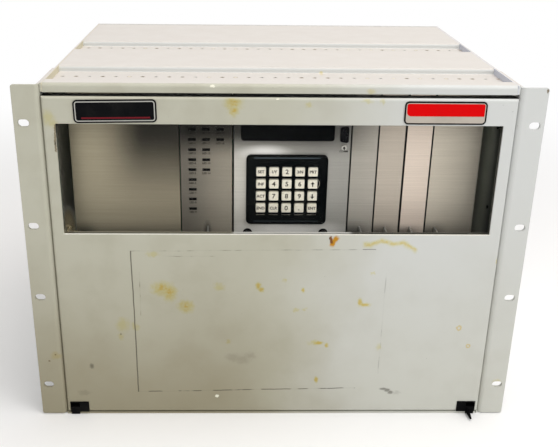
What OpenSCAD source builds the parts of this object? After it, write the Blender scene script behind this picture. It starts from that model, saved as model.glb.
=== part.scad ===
// Protection relay in a 19-inch rack case with a hinged, glazed front cover.
// Millimetres. X is the width, -Y the front, +Z up. The sub-parts are drawn with y measured back from the
// front face of the rack brackets and z up from the underside, and in_frame() moves them to the origin.

/* [Rack face] */
// Width over the rack brackets
rack_w = 482.6; // [470:0.1:490]
// Width of a bracket's face
ear_w = 25.4; // [23:0.1:30]
// Height of the case, eight rack units
unit_h = 352; // [340:1:360]
// How far the brackets stop short of the case at top and bottom
ear_inset = 1; // [0.2:0.1:3]
// Thickness of the bracket sheet
ear_t = 3; // [2:0.5:4]
// Inner radius of the bracket's fold
ear_bend_r = 2; // [1:0.5:3]
// Radius of the brackets' outer corners
ear_corner_r = 2; // [1:0.5:8]
// Depth of the bracket's leg along the side of the case
ear_leg = 70; // [55:1:100]
// Distance from a bracket's outer edge to the middle of its slots
slot_edge = 8.75; // [8:0.05:10]
// Distance between the outer slots of one bracket
slot_spacing_outer = 279.4; // [250:0.1:290]
// Distance between the inner slots of one bracket
slot_spacing_inner = 76.2; // [50:0.1:100]
// Length of a slot, end to end
slot_len = 10.3; // [9:0.1:12]
// Width of a slot
slot_h = 7.1; // [6:0.1:8]

/* [Case] */
// Depth of the case from the bracket face to the back of the rear cover
case_d = 327; // [310:1:345]
// Thickness of the case sheet
sheet_t = 2; // [1.5:0.1:2.5]
// Centre line radius of the folds in the top and bottom plates
fold_r = 2.2; // [1.6:0.1:2.6]
// Height of the front lip of the top plate
lip_h = 8.2; // [7.8:0.1:10]
// How far the lip's face lies behind the bracket face
lip_back = 2.5; // [2:0.1:4]
// How far the bottom plate's front edge lies behind the bracket face
sill_back = 0.6; // [0.3:0.1:0.8]
// Where the front channel starts
channel_1_y = 22; // [20:0.5:28]
// Width of the front channel
channel_1_w = 54; // [48:0.5:58]
// Distance from the front row of holes to the rear wall of its channel
hole_row_1 = 19.3; // [16:0.1:22]
// Where the rear channel starts
channel_2_y = 163; // [150:1:170]
// Width of the rear channel
channel_2_w = 44; // [40:0.5:50]
// Distance from the rear row of holes to the rear wall of its channel
hole_row_2 = 9.4; // [8:0.1:16]
// Depth of a channel
channel_depth = 6; // [5.5:0.1:7]
// Radius of the guide holes
guide_hole_r = 1.5; // [1.2:0.1:1.8]
// Pitch of the guide holes
guide_pitch = 12.7; // [12.5:0.1:12.9]
// How far the grid of guide holes lies left of the case's middle
guide_shift = 3.1; // [2:0.1:4]
// Height of the rear flanges that carry the rear cover
rear_flange = 13; // [12:0.5:15]
// Thickness of the rear cover
rear_t = 2; // [1.5:0.1:2.5]
// Front edge of the side plates, behind the swing of the cover
side_front = 18; // [17.5:0.1:20]

/* [Front cover] */
// Gap between the cover and the bracket on each side
cover_side_gap = 0.5; // [0.3:0.1:0.8]
// Height of the cover's lower edge
cover_bottom = 3; // [2.6:0.1:4]
// Gap between the cover and the lip above it
cover_top_gap = 3.2; // [2.8:0.1:4]
// Thickness of the cover sheet
cover_t = 1.6; // [1.2:0.1:2]
// Depth of the cover's flanges
cover_flange = 12; // [11:0.5:12.5]
// Outer radius of the cover's folds
cover_fold_r = 2.4; // [2:0.1:3]
// Distance of the window opening from each side edge of the cover
window_side = 11.4; // [11:0.1:18]
// Height of the window opening
window_h = 109; // [100:0.2:110]
// Distance of the window opening below the cover's upper edge
window_top = 25.2; // [24.6:0.1:32]
// Thickness of the glass
pane_t = 3; // [2:0.5:4]
// How far the glass reaches past the opening
pane_lap = 5; // [4:0.5:5.5]
// Thickness of the frame that holds the glass
retainer_t = 1.5; // [1:0.1:2]
// Room between the glass and its frame
pane_room = 0.2; // [0.1:0.05:0.3]
// Radius of the hinge pins
hinge_pin_r = 2.5; // [2:0.1:2.6]
// Running clearance of the hinge pins
hinge_clear = 0.05; // [0.02:0.01:0.08]
// Distance of the hinge axis behind the cover's face
hinge_back = 8; // [7.8:0.1:8.5]
// Distance of the hinge axis below the cover's upper edge
hinge_drop = 8; // [7.5:0.1:9]
// Thickness of a badge
badge_t = 0.8; // [0.5:0.1:1]
// Width of a badge
badge_w = 75; // [70:0.5:80]
// Height of a badge
badge_h = 21.5; // [20:0.1:21.8]
// Corner radius of a badge
badge_r = 4; // [2:0.5:6]
// Distance from the cover's side edge to the middle of a badge
badge_side = 65.9; // [60:0.1:75]
// Distance from the cover's upper edge to the middle of a badge
badge_drop = 13.1; // [13:0.1:13.6]
// How far the left badge is turned, as it was stuck on
badge_tilt = 0.9; // [-1.5:0.1:1.5]

/* [Latches] */
// Width of a latch housing
latch_w = 19; // [18:0.5:22]
// Height of a latch housing
latch_h = 12; // [11.5:0.5:14]
// Distance from the cover's side edge to a latch
latch_side = 3.4; // [3:0.1:7]
// How far the latches stand proud of the cover
latch_proud = 0.8; // [0.4:0.1:1.5]
// Depth of a latch housing behind the cover's face
latch_depth = 11.5; // [10:0.5:12]
// Width of a latch bolt
bolt_w = 8.6; // [7:0.1:10]
// Height of the bolt's block
bolt_h = 6; // [5:0.5:6.5]
// Travel of a latch bolt
bolt_travel = 5; // [3:0.5:5.2]
// Depth of the bolt's nose behind the sill
bolt_nose = 4.4; // [3:0.2:5]
// Width of the sill strip that the nose hooks behind
keeper_web = 2.6; // [2:0.1:3]
// Sliding clearance of the latch bolts
bolt_clear = 0.25; // [0.15:0.05:0.4]
// How far the finger pull of the right bolt reaches in front of the bracket face
pull_pin_reach = 13; // [8:0.5:14]
// Radius of that finger pull at its root
pull_pin_r = 2.4; // [2:0.1:3]

/* [Modules] */
// Distance of the module plates behind the bracket face
plate_y = 40; // [38:0.5:44]
// Thickness of the module plates
plate_t = 2.5; // [2:0.1:3]
// Distance of the module plates from the case's top and bottom
plate_inset = 11; // [10:0.5:13]
// Gap between neighbouring module plates
plate_gap = 1; // [0.6:0.1:1.4]
// Room between the case's left side and the wide magnetics plate
left_room = 12.7; // [9:0.1:18]
// Seam between the magnetics and target plates
target_x = -95.2; // [-98:0.1:-93]
// Seam between the target and keypad plates
keypad_x = -43.8; // [-46:0.1:-42]
// Seam between the keypad plate and the first narrow plate
signal_x = 71.2; // [71:0.1:73]
// Width of a narrow plate with its gap
signal_w = 26.3; // [25:0.1:28]
// Room between the supply plate and the case's right side
right_room = 15; // [9:0.1:18]
// Thickness of a module board
board_t = 1.6; // [1.2:0.1:1.8]
// Height of a card guide
guide_h = 6; // [5:0.5:7]
// Width of a card guide
guide_w = 7; // [6:0.5:9]
// Depth of the slot in a card guide
guide_slot = 4; // [3:0.5:4.5]
// Room of a board in its guide or socket, on each side
board_room = 0.2; // [0.1:0.05:0.3]
// Thickness of a blade pull
pull_t = 1.6; // [1.2:0.1:2.5]
// How far a blade pull stands out of its plate
pull_reach = 23; // [18:0.5:25]
// Distance from the window's lower edge down to the lower end of a blade pull
pull_drop = 88.4; // [84:0.2:100]
// Length of a blade pull
pull_len = 80; // [60:1:90]
// Corner radius of a blade pull
pull_r = 6; // [3:0.5:9]
// Radius of the keypad module's knobs
knob_r = 4; // [3:0.1:5]
// Length of the knobs
knob_len = 12; // [9:0.5:16]
// Distance between the knobs
knob_spacing = 76.5; // [70:0.5:82]
// Distance from the window's lower edge down to the knobs
knob_drop = 15.9; // [13:0.1:25]

/* [Indicators and display] */
// Width of an indicator lamp
lamp_w = 7.5; // [6:0.1:9]
// Height of an indicator lamp
lamp_h = 2.5; // [2:0.1:3.5]
// How far the lamps stand out of their plate
lamp_proud = 0.5; // [0.2:0.1:1]
// Room round a lamp in its slot
lamp_room = 0.1; // [0.05:0.05:0.2]
// Distance between the columns of lamps
lamp_pitch_x = 13.6; // [11:0.1:15]
// Distance between the rows of lamps
lamp_pitch_z = 10.3; // [8:0.1:12]
// Height of the top row of lamps over the window's lower edge
lamp_rise = 92.6; // [86:0.2:100]
// Width of the display window
display_w = 90.5; // [80:0.5:96]
// Height of the display window
display_h = 24; // [16:0.5:26]
// Height of the display's lower edge over the window's lower edge
display_rise = 81.4; // [78:0.1:85]
// Corner radius of the display window
display_r = 3; // [1:0.5:5]
// Height of the communication port's middle over the window's lower edge
port_rise = 88; // [84:0.2:92]

/* [Keypad] */
// Width of the keypad frame
frame_w = 80; // [76:0.5:86]
// Height of the keypad frame
frame_h = 72.5; // [64:0.5:76]
// Distance from the window's lower edge down to the keypad frame's lower edge
frame_drop = 5; // [3:0.1:9]
// How far the keypad frame's field stands out of the plate
frame_t = 2.5; // [2:0.1:3]
// Height of the rim round the keypad frame
rim_h = 0.9; // [0.5:0.1:1.5]
// Width of that rim
rim_w = 1.6; // [1:0.1:3]
// Corner radius of the keypad frame
frame_r = 5; // [3:0.5:8]
// Distance between the keys
key_pitch = 12.75; // [12.2:0.05:13.2]
// Width of a key
key_w = 9.4; // [8:0.1:10]
// Corner radius of a key
key_r = 1.4; // [0.8:0.1:2]
// How far a key stands out of the frame's field
key_proud = 1.6; // [1.5:0.1:2.5]
// Travel of a key
key_travel = 1.4; // [0.8:0.1:1.5]
// Room round a key
key_room = 0.2; // [0.1:0.05:0.3]
// How far a key's hidden flange reaches past its cap
key_flange = 1; // [0.6:0.1:1.2]
// Radius of the round edges of a key's front
key_edge_r = 0.8; // [0.4:0.1:1.2]
// Height of the keys' lowest row over the frame's lower edge
key_row_rise = 17.5; // [15:0.5:18]

/* [Rear] */
// Pitch of the terminals
terminal_pitch = 11; // [9.5:0.1:11.2]
// Width of a terminal block
block_w = 24; // [20:0.5:28]
// Depth of a terminal block's base
block_base = 11; // [8:0.5:13]
// Depth of a terminal block over its barriers
block_d = 20; // [16:0.5:24]
// Thickness of a barrier
barrier_t = 2; // [1.5:0.1:2.5]
// Distance between the columns of terminal blocks
block_pitch_x = 66; // [50:1:70]
// Gap between the two rows of terminal blocks
block_gap = 10; // [6:0.5:11]
// How far the columns of terminal blocks lie left of the case's middle
block_shift = 36; // [30:1:40]
// Distance from the case's middle to the rear serial ports
rear_port_x = 152; // [140:1:165]
// Distance of the backplane's back behind the bracket face
backplane_y = 304; // [290:1:306]
// Thickness of the backplane
backplane_t = 2.4; // [1.6:0.1:3.2]
// Depth of a backplane socket
socket_d = 11; // [8:0.5:14]

/* [Hidden] */
$fn = 48;

// How many steps a computed arc has
arc_steps = 5;
// A cut reaches this far past the face that it opens
past = 1;
// Radius and head of the screws in the case
screw_r = 2;
screw_head_r = 4;
screw_head_h = 2.4;
screw_clear = 0.1;
// Radius and head of the terminal screws
terminal_screw_r = 3.4;
terminal_screw_h = 2.6;
screw_slot_w = 1;

case_w = rack_w - 2 * ear_w;
in_x = case_w / 2 - sheet_t;
reach_back = case_d + block_d;
front_y = (pull_pin_reach - reach_back) / 2;

lip_bottom = unit_h - lip_h;
cover_top = lip_bottom - cover_top_gap;
cover_x = case_w / 2 - cover_side_gap;
hinge_z = cover_top - hinge_drop;
window_w = 2 * (cover_x - window_side);
window_z = cover_top - window_top - window_h;
latch_x = cover_x - latch_side;
leg_x = case_w / 2 + ear_t;
side_tab_gap = 0.5;
rear_y = case_d - rear_t;

// Guide holes lie on a grid about a line a little left of the middle
guide_side = floor((in_x - guide_w / 2 - guide_shift) / guide_pitch);
function guide_x(i) = i * guide_pitch - guide_shift;
channel_1_end = channel_1_y + channel_1_w;
channel_2_end = channel_2_y + channel_2_w;
hole_rows = [channel_1_end - hole_row_1, channel_2_end - hole_row_2];
channel_inner = channel_depth + sheet_t;

// Seams of the module plates, from the left, and the board that stands behind each
magnetics_x = -in_x + left_room;
power_end = in_x - right_room;
power_x = signal_x + 3 * signal_w;
seams = [magnetics_x, target_x, keypad_x, signal_x, signal_x + signal_w, signal_x + 2 * signal_w, power_x,
         power_end];
function near_guide(x) = guide_x(round((x + guide_shift) / guide_pitch));
signal_boards = [for (i = [0:2]) near_guide(signal_x + (i + 0.5) * signal_w)];
magnetics_board = near_guide((magnetics_x + target_x) / 2);
target_board = near_guide((target_x + keypad_x) / 2);
keypad_board = near_guide(keypad_x + guide_w / 2);
power_board = near_guide(power_x + guide_pitch);
boards = concat([magnetics_board, target_board, keypad_board], signal_boards, [power_board]);
pulled_boards = concat([target_board], signal_boards, [power_board]);
pulls = [for (x = pulled_boards) x - (board_t + pull_t) / 2];
plate_back = plate_y + plate_t;
board_z = channel_inner + guide_h - guide_slot + board_room;
guide_front = plate_back + 1.5;
guide_back = channel_2_end;
socket_front = backplane_y - backplane_t - socket_d;
board_back = socket_front + socket_d / 2;

pull_z = window_z - pull_drop;
knob_z = window_z - knob_drop;
lamp_top = window_z + lamp_rise;
display_z = window_z + display_rise;
port_z = window_z + port_rise;
frame_z = window_z - frame_drop;
key_row_z = frame_z + key_row_rise;
lamp_x = (target_x + keypad_x) / 2 - lamp_pitch_x;
lamp_rows = [9, 5, 2];
keypad_shift = 4.1;
keypad_mid = (keypad_x + signal_x) / 2 - keypad_shift;
port_set = 6.8;
port_x = signal_x - port_set;
frame_front = plate_y - frame_t;
key_front = frame_front - key_proud;
key_cols = 5;
key_rows = 4;

KEYS = ["key_set", "key_1", "key_2", "key_3", "key_print",
        "key_info", "key_4", "key_5", "key_6", "key_up",
        "key_act", "key_7", "key_8", "key_9", "key_down",
        "key_end", "key_clear", "key_0", "key_point", "key_enter"];

// Colours
paint = [0.80, 0.80, 0.77];
brushed = [0.66, 0.64, 0.60];
zinc = [0.72, 0.72, 0.70];
black = [0.06, 0.06, 0.06];
cream = [0.93, 0.89, 0.78];
board_green = [0.10, 0.34, 0.20];

// Helpers

module in_frame() {
    translate([0, front_y, 0]) children();
}

// A block between two opposite corners
module block(from, to) {
    translate(from) cube(to - from);
}

// Extrusions of a flat outline: (x, z) along Y, (y, z) along X, (x, y) along Z
module along_y(y, depth) {
    translate([0, y + depth, 0]) rotate([90, 0, 0]) linear_extrude(height = depth) children();
}
module along_x(x, width) {
    translate([x, 0, 0]) rotate([90, 0, 90]) linear_extrude(height = width) children();
}
module along_z(z, height) {
    translate([0, 0, z]) linear_extrude(height = height) children();
}

// A rectangle with round corners, between two opposite corners
module round_rect(from, to, r) {
    size = to - from;
    translate(from) {
        translate([r, 0]) square([size[0] - 2 * r, size[1]]);
        translate([0, r]) square([size[0], size[1] - 2 * r]);
        for (x = [r, size[0] - r], y = [r, size[1] - r])
            translate([x, y]) circle(r = r);
    }
}

// The same, about its middle
module round_rect_at(mid, size, r) {
    round_rect(mid - size / 2, mid + size / 2, r);
}

// A flat bar whose two front corners are round, from low to high along the outline's x
module front_rounded(low, high, depth, r) {
    translate([low + r, 0]) square([high - low - 2 * r, depth]);
    translate([low, r]) square([high - low, depth - r]);
    for (x = [low + r, high - r])
        translate([x, r]) circle(r = r);
}

// A block between two (x, z) corners, from y = 0 back, whose front edges are round
module front_block(low, high, depth, r) {
    size = high - low;
    intersection() {
        along_z(low[1], size[1]) front_rounded(low[0], high[0], depth, r);
        along_x(low[0], size[0]) rotate(90) mirror([0, 1]) front_rounded(low[1], high[1], depth, r);
    }
}

// The mirror image of a left or right sub-part, drawn for the right side
module on_side(side) {
    mirror([side < 0 ? 1 : 0, 0, 0]) children();
}

function unit(v) = v / norm(v);
function left_of(v) = [-v[1], v[0]];
function nearest_turn(a) = a > 180 ? a - 360 : a < -180 ? a + 360 : a;

// Points of the arc that rounds the corner b of the line a, b, c
function corner_arc(a, b, c, r) =
    let(u = unit(a - b), v = unit(c - b), half = acos(u * v) / 2,
        centre = b + unit(u + v) * r / sin(half),
        from = b + u * r / tan(half) - centre, to = b + v * r / tan(half) - centre,
        start = atan2(from[1], from[0]), turn = nearest_turn(atan2(to[1], to[0]) - start))
    [for (i = [0:arc_steps]) centre + r * [cos(start + turn * i / arc_steps), sin(start + turn * i / arc_steps)]];

// A line with its inner corners rounded
function folded_line(pts, r) =
    concat([pts[0]],
           [for (i = [1:len(pts) - 2]) each corner_arc(pts[i - 1], pts[i], pts[i + 1], r)],
           [pts[len(pts) - 1]]);

// The line moved sideways by d
function line_beside(line, d) =
    [for (i = [0:len(line) - 1])
        let(last = len(line) - 1,
            before = unit(line[max(i, 1)] - line[max(i, 1) - 1]),
            after = unit(line[min(i, last - 1) + 1] - line[min(i, last - 1)]),
            side = unit(left_of(before) + left_of(after)))
        line[i] + side * d / (side * left_of(before))];

// The section of a folded sheet, from its centre line
module sheet_section(pts, thickness, r) {
    line = folded_line(pts, r);
    far_side = line_beside(line, -thickness / 2);
    polygon(concat(line_beside(line, thickness / 2), [for (i = [len(far_side) - 1:-1:0]) far_side[i]]));
}

// A closed outline with all its corners rounded
module round_outline(pts, r) {
    n = len(pts);
    polygon([for (i = [0:n - 1]) each corner_arc(pts[(i + n - 1) % n], pts[i], pts[(i + 1) % n], r)]);
}

// A pan head screw: its seat is at z = 0 and its head is above
module screw(shank_len) {
    difference() {
        union() {
            translate([0, 0, -shank_len]) cylinder(r = screw_r, h = shank_len + past);
            cylinder(r = screw_head_r, h = screw_head_h);
        }
        translate([-screw_head_r - past, -screw_slot_w / 2, screw_head_h / 2])
            cube([2 * (screw_head_r + past), screw_slot_w, screw_head_h]);
    }
}

// Case

// Centre line of the bottom plate from the front channel to the rear flange, with z up from its outer face
function channel_line(start, end) =
    let(flush = sheet_t / 2, floor_z = sheet_t / 2 + channel_depth)
    [[start - flush, flush], [start - flush, floor_z], [end + flush, floor_z], [end + flush, flush]];
function tray_line() =
    concat(channel_line(channel_1_y, channel_1_end), channel_line(channel_2_y, channel_2_end),
           [[rear_y - sheet_t / 2, sheet_t / 2], [rear_y - sheet_t / 2, rear_flange]]);

rear_screw_z = (rear_flange + sheet_t) / 2 + 1;
rear_screws = [for (i = [-2:2]) i * (in_x - 24) / 2];

// The top or bottom plate, seen as the bottom one, from the front edge's own points
module tray(front_points) {
    difference() {
        along_x(-in_x, 2 * in_x) sheet_section(concat(front_points, tray_line()), sheet_t, fold_r);
        for (y = hole_rows, i = [-guide_side:guide_side])
            translate([guide_x(i), y, channel_depth - past])
                cylinder(r = guide_hole_r, h = sheet_t + 2 * past);
        for (x = rear_screws)
            translate([x, rear_y - sheet_t - past, rear_screw_z])
                rotate([-90, 0, 0]) cylinder(r = screw_r + screw_clear, h = sheet_t + 2 * past);
    }
}

module top_plate() {
    lip_y = lip_back + sheet_t / 2;
    color(paint) in_frame()
        translate([0, 0, unit_h]) mirror([0, 0, 1])
            tray([[lip_y, lip_h], [lip_y, sheet_t / 2]]);
}

keeper_y = sill_back + keeper_web;
bolt_x = latch_x - bolt_w - 3 * bolt_clear;

module bottom_plate() {
    color(paint) in_frame() difference() {
        tray([[sill_back, sheet_t / 2]]);
        for (side = [-1, 1]) on_side(side)
            block([bolt_x - 2 * bolt_clear, keeper_y, -past],
                  [bolt_x + bolt_w + 2 * bolt_clear, keeper_y + bolt_nose + 2 * bolt_clear, sheet_t + past]);
    }
}

bracket_screw_y = (side_front + ear_leg) / 2;
bracket_screws = [for (i = [-1.5, -0.5, 0.5, 1.5]) unit_h / 2 + i * unit_h / 4.2];

module bracket_screw_holes(x, depth) {
    for (z = bracket_screws)
        translate([x, bracket_screw_y, z])
            rotate([0, 90, 0]) cylinder(r = screw_r + screw_clear, h = depth);
}

module side_plate(side) {
    tab_z = lip_bottom + side_tab_gap;
    color(paint) in_frame() on_side(side) difference() {
        along_x(in_x, sheet_t)
            polygon([[sill_back, 0], [rear_y, 0], [rear_y, unit_h], [lip_back, unit_h], [lip_back, tab_z],
                     [side_front, tab_z], [side_front, sheet_t], [sill_back, sheet_t]]);
        bracket_screw_holes(in_x - past, sheet_t + 2 * past);
    }
}

module left_side_plate() {
    side_plate(-1);
}

module right_side_plate() {
    side_plate(1);
}

// A slot across the bracket, as an outline in (x, z)
module rack_slot(z) {
    translate([rack_w / 2 - slot_edge, z]) {
        square([slot_len - slot_h, slot_h], center = true);
        for (end = [-1, 1])
            translate([end * (slot_len - slot_h) / 2, 0]) circle(d = slot_h);
    }
}

module rack_bracket(side) {
    face_y = ear_t / 2;
    leg_mid = case_w / 2 + ear_t / 2;
    color(paint) in_frame() on_side(side) difference() {
        intersection() {
            along_z(0, unit_h)
                sheet_section([[rack_w / 2, face_y], [leg_mid, face_y], [leg_mid, ear_leg]], ear_t,
                              ear_bend_r + ear_t / 2);
            along_y(-past, ear_leg + 2 * past)
                round_rect([case_w / 2 - 3 * ear_corner_r, ear_inset], [rack_w / 2, unit_h - ear_inset],
                           ear_corner_r);
        }
        along_y(-past, ear_t + 2 * past)
            for (spacing = [slot_spacing_outer, slot_spacing_inner], end = [-1, 1])
                rack_slot(unit_h / 2 + end * spacing / 2);
        bracket_screw_holes(case_w / 2 - past, ear_t + 2 * past);
        translate([case_w / 2 - past, hinge_back, hinge_z])
            rotate([0, 90, 0]) cylinder(r = hinge_pin_r + hinge_clear, h = ear_t + 2 * past);
    }
}

module left_rack_bracket() {
    rack_bracket(-1);
}

module right_rack_bracket() {
    rack_bracket(1);
}

module case_screws() {
    color(zinc) in_frame() {
        for (side = [-1, 1], z = bracket_screws) on_side(side)
            translate([leg_x, bracket_screw_y, z]) rotate([0, 90, 0]) screw(ear_t + sheet_t + 1);
        for (x = rear_screws, z = [rear_screw_z, unit_h - rear_screw_z])
            translate([x, case_d, z]) rotate([-90, 0, 0]) screw(rear_t + sheet_t + 1);
    }
}

module rear_cover() {
    color(paint) in_frame() difference() {
        block([-case_w / 2, rear_y, 0], [case_w / 2, case_d, unit_h]);
        for (x = rear_screws, z = [rear_screw_z, unit_h - rear_screw_z])
            translate([x, rear_y - past, z])
                rotate([-90, 0, 0]) cylinder(r = screw_r + screw_clear, h = rear_t + 2 * past);
    }
}

// Rear connections

// A block has as many terminals as fit between the case's middle and the rear cover's screws
screw_head_room = 2;
block_room = (unit_h - block_gap) / 2 - rear_screw_z - screw_head_r - screw_head_room;
terminals = floor((block_room - barrier_t) / terminal_pitch);
block_len = terminals * terminal_pitch + barrier_t;
block_cols = [for (i = [-2:1]) (i + 0.5) * block_pitch_x - block_shift];
block_rows = [for (end = [-1, 1]) unit_h / 2 + end * (block_len + block_gap) / 2];
function terminal_z(i) = (i - (terminals - 1) / 2) * terminal_pitch;

// A barrier strip on the rear cover, about the middle of its seat
module terminal_block() {
    block([-block_w / 2, 0, -block_len / 2], [block_w / 2, block_base, block_len / 2]);
    for (i = [0:terminals])
        translate([0, 0, terminal_z(i - 0.5)])
            block([-block_w / 2, 0, -barrier_t / 2], [block_w / 2, block_d, barrier_t / 2]);
}

module terminal_blocks() {
    color(black) in_frame()
        for (x = block_cols, z = block_rows)
            translate([x, case_d, z]) terminal_block();
}

module terminal_screw() {
    rotate([-90, 0, 0]) difference() {
        cylinder(r = terminal_screw_r, h = terminal_screw_h);
        translate([-terminal_screw_r - past, -screw_slot_w / 2, terminal_screw_h / 2])
            cube([2 * (terminal_screw_r + past), screw_slot_w, terminal_screw_h]);
    }
}

module terminal_screws() {
    color(zinc) in_frame()
        for (x = block_cols, z = block_rows, i = [0:terminals - 1])
            translate([x, case_d + block_base, z + terminal_z(i)]) terminal_screw();
}

// The outline of a D connector that stands upright, about its middle
module d_outline(wide, tall, r) {
    slant = wide * 0.18;
    round_outline([[-wide / 2, -tall / 2 + slant], [wide / 2, -tall / 2], [wide / 2, tall / 2],
                   [-wide / 2, tall / 2 - slant]], r);
}

rear_port_len = 53;
rear_port_w = 12.5;
rear_port_t = 1.2;
rear_shell_len = 38.5;
rear_shell_w = 8.2;
rear_shell_d = 6;
rear_port_pitch = 80;
rear_jack_set = 23.5;
rear_jack_r = 2.6;
rear_jack_h = 5;

module serial_ports() {
    color(zinc) in_frame()
        for (i = [-1:1])
            translate([rear_port_x, case_d, unit_h / 2 + i * rear_port_pitch]) {
                along_y(0, rear_port_t) round_rect_at([0, 0], [rear_port_w, rear_port_len], 1);
                along_y(0, rear_shell_d) d_outline(rear_shell_w, rear_shell_len, 1.5);
                for (end = [-1, 1])
                    translate([0, 0, end * rear_jack_set])
                        rotate([-90, 0, 0]) cylinder(r = rear_jack_r, h = rear_jack_h, $fn = 6);
            }
}

// Inside the case

module backplane_board() {
    color(board_green) in_frame()
        block([-in_x, backplane_y - backplane_t, plate_inset], [in_x, backplane_y, unit_h - plate_inset]);
}

socket_w = 10;
socket_len = 94;
socket_set = 82;

module backplane_sockets() {
    color(cream) in_frame()
        for (x = boards, end = [-1, 1])
            translate([x, 0, unit_h / 2 + end * socket_set]) difference() {
                block([-socket_w / 2, socket_front, -socket_len / 2],
                      [socket_w / 2, socket_front + socket_d, socket_len / 2]);
                block([-board_t / 2 - board_room, socket_front - past, -socket_len / 2 - past],
                      [board_t / 2 + board_room, board_back + board_room, socket_len / 2 + past]);
            }
}

// A guide on the bottom plate, about x = 0, with the pegs that snap into the holes
module card_guide() {
    floor_z = channel_inner;
    difference() {
        block([-guide_w / 2, guide_front, floor_z], [guide_w / 2, guide_back, floor_z + guide_h]);
        block([-board_t / 2 - board_room, guide_front - past, floor_z + guide_h - guide_slot],
              [board_t / 2 + board_room, guide_back + past, floor_z + guide_h + past]);
    }
    for (y = hole_rows)
        translate([0, y, channel_depth]) cylinder(r = guide_hole_r - screw_clear, h = sheet_t);
}

module card_guides() {
    color(cream) in_frame()
        for (x = boards) translate([x, 0, 0]) {
            card_guide();
            translate([0, 0, unit_h]) mirror([0, 0, 1]) card_guide();
        }
}

// The boards stand on their plates' backs, cut back where the display's flange reaches them
module module_boards() {
    color(board_green) in_frame() difference() {
        for (x = boards)
            block([x - board_t / 2, plate_back, board_z], [x + board_t / 2, board_back, unit_h - board_z]);
        along_y(plate_back - past, past + display_flange_t + display_room)
            round_rect_at(display_mid, display_size + 2 * (display_flange + display_room) * [1, 1], display_r);
    }
}

core_w = 34;
core_d = 50;
core_h = 44;
core_leg = 9;
coil_r = 15;
core_pitch_y = 75;
core_pitch_z = 72;

// An input transformer on the left face of its board: a laminated frame with a coil
module input_transformer() {
    difference() {
        block([-core_w, -core_d / 2, -core_h / 2], [0, core_d / 2, core_h / 2]);
        block([-core_w - past, -core_d / 2 + core_leg, -core_h / 2 + core_leg],
              [past, core_d / 2 - core_leg, core_h / 2 - core_leg]);
    }
    translate([-core_w / 2, 0, -core_h / 2 + core_leg])
        cylinder(r = coil_r, h = core_h - 2 * core_leg);
}

module input_transformers() {
    board_mid = (plate_back + board_back) / 2;
    color([0.35, 0.30, 0.24]) in_frame()
        for (end = [-1, 1], i = [-1.5:1:1.5])
            translate([magnetics_board - board_t / 2, board_mid + end * core_pitch_y / 2,
                       unit_h / 2 + i * core_pitch_z])
                input_transformer();
}

sink_len = 180;
sink_d = 90;
sink_base = 4;
sink_fin = 22;
sink_fin_t = 2;
sink_fins = 9;

module power_heatsink() {
    fin_pitch = (sink_d - sink_fin_t) / (sink_fins - 1);
    color(black) in_frame()
        translate([power_board + board_t / 2, (plate_back + board_back - sink_d) / 2, (unit_h - sink_len) / 2]) {
            cube([sink_base, sink_d, sink_len]);
            for (i = [0:sink_fins - 1])
                translate([0, i * fin_pitch, 0]) cube([sink_fin, sink_fin_t, sink_len]);
        }
}

// Module plates

// The plate between two seams, with its own cuts as outlines in (x, z)
module module_plate(i) {
    color(brushed) in_frame()
        along_y(plate_y, plate_t) difference() {
            round_rect([seams[i] + plate_gap / 2, plate_inset],
                       [seams[i + 1] - plate_gap / 2, unit_h - plate_inset], 1);
            children();
        }
}

module magnetics_plate() {
    module_plate(0);
}

module lamp_outlines(room) {
    for (c = [0:len(lamp_rows) - 1], r = [0:lamp_rows[c] - 1])
        translate([lamp_x + c * lamp_pitch_x, lamp_top - r * lamp_pitch_z])
            square([lamp_w + 2 * room, lamp_h + 2 * room], center = true);
}

module target_plate() {
    module_plate(1) lamp_outlines(lamp_room);
}

module target_lamps() {
    color(black) in_frame() along_y(plate_y - lamp_proud, lamp_proud + plate_t) lamp_outlines(0);
}

display_mid = [keypad_mid, display_z + display_h / 2];
display_size = [display_w, display_h];
display_proud = 0.6;
display_flange = 2;
display_flange_t = 1.5;
display_room = 1;
frame_mid = [keypad_mid, frame_z + frame_h / 2];
// Room in the keypad plate for the keys' flanges and their travel
keys_cut = [(key_cols - 1) * key_pitch + key_w + 2 * key_flange + 4,
            (key_rows - 1) * key_pitch + key_w + 2 * key_flange + 4];
keys_mid = [keypad_mid, key_row_z + (key_rows - 1) * key_pitch / 2];
port_mid = [port_x, port_z];
port_shell = [8.4, 16.9];
port_shell_r = 2;
jack_set = 12.5;
jack_r = 2.5;
jack_neck_r = 1.6;
jack_h = 3;

module keypad_plate() {
    module_plate(2) {
        round_rect_at(display_mid, display_size + 2 * [lamp_room, lamp_room], display_r);
        round_rect_at(keys_mid, keys_cut, 2);
        translate(port_mid) {
            d_outline(port_shell[0] + 2 * lamp_room, port_shell[1] + 2 * lamp_room, port_shell_r);
            for (end = [-1, 1])
                translate([0, end * jack_set]) circle(r = jack_neck_r + lamp_room);
        }
    }
}

module display_window() {
    color(black) in_frame() {
        along_y(plate_y - display_proud, display_proud + plate_t + display_flange_t)
            round_rect_at(display_mid, display_size, display_r);
        along_y(plate_back, display_flange_t)
            round_rect_at(display_mid, display_size + 2 * [display_flange, display_flange], display_r);
    }
}

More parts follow.
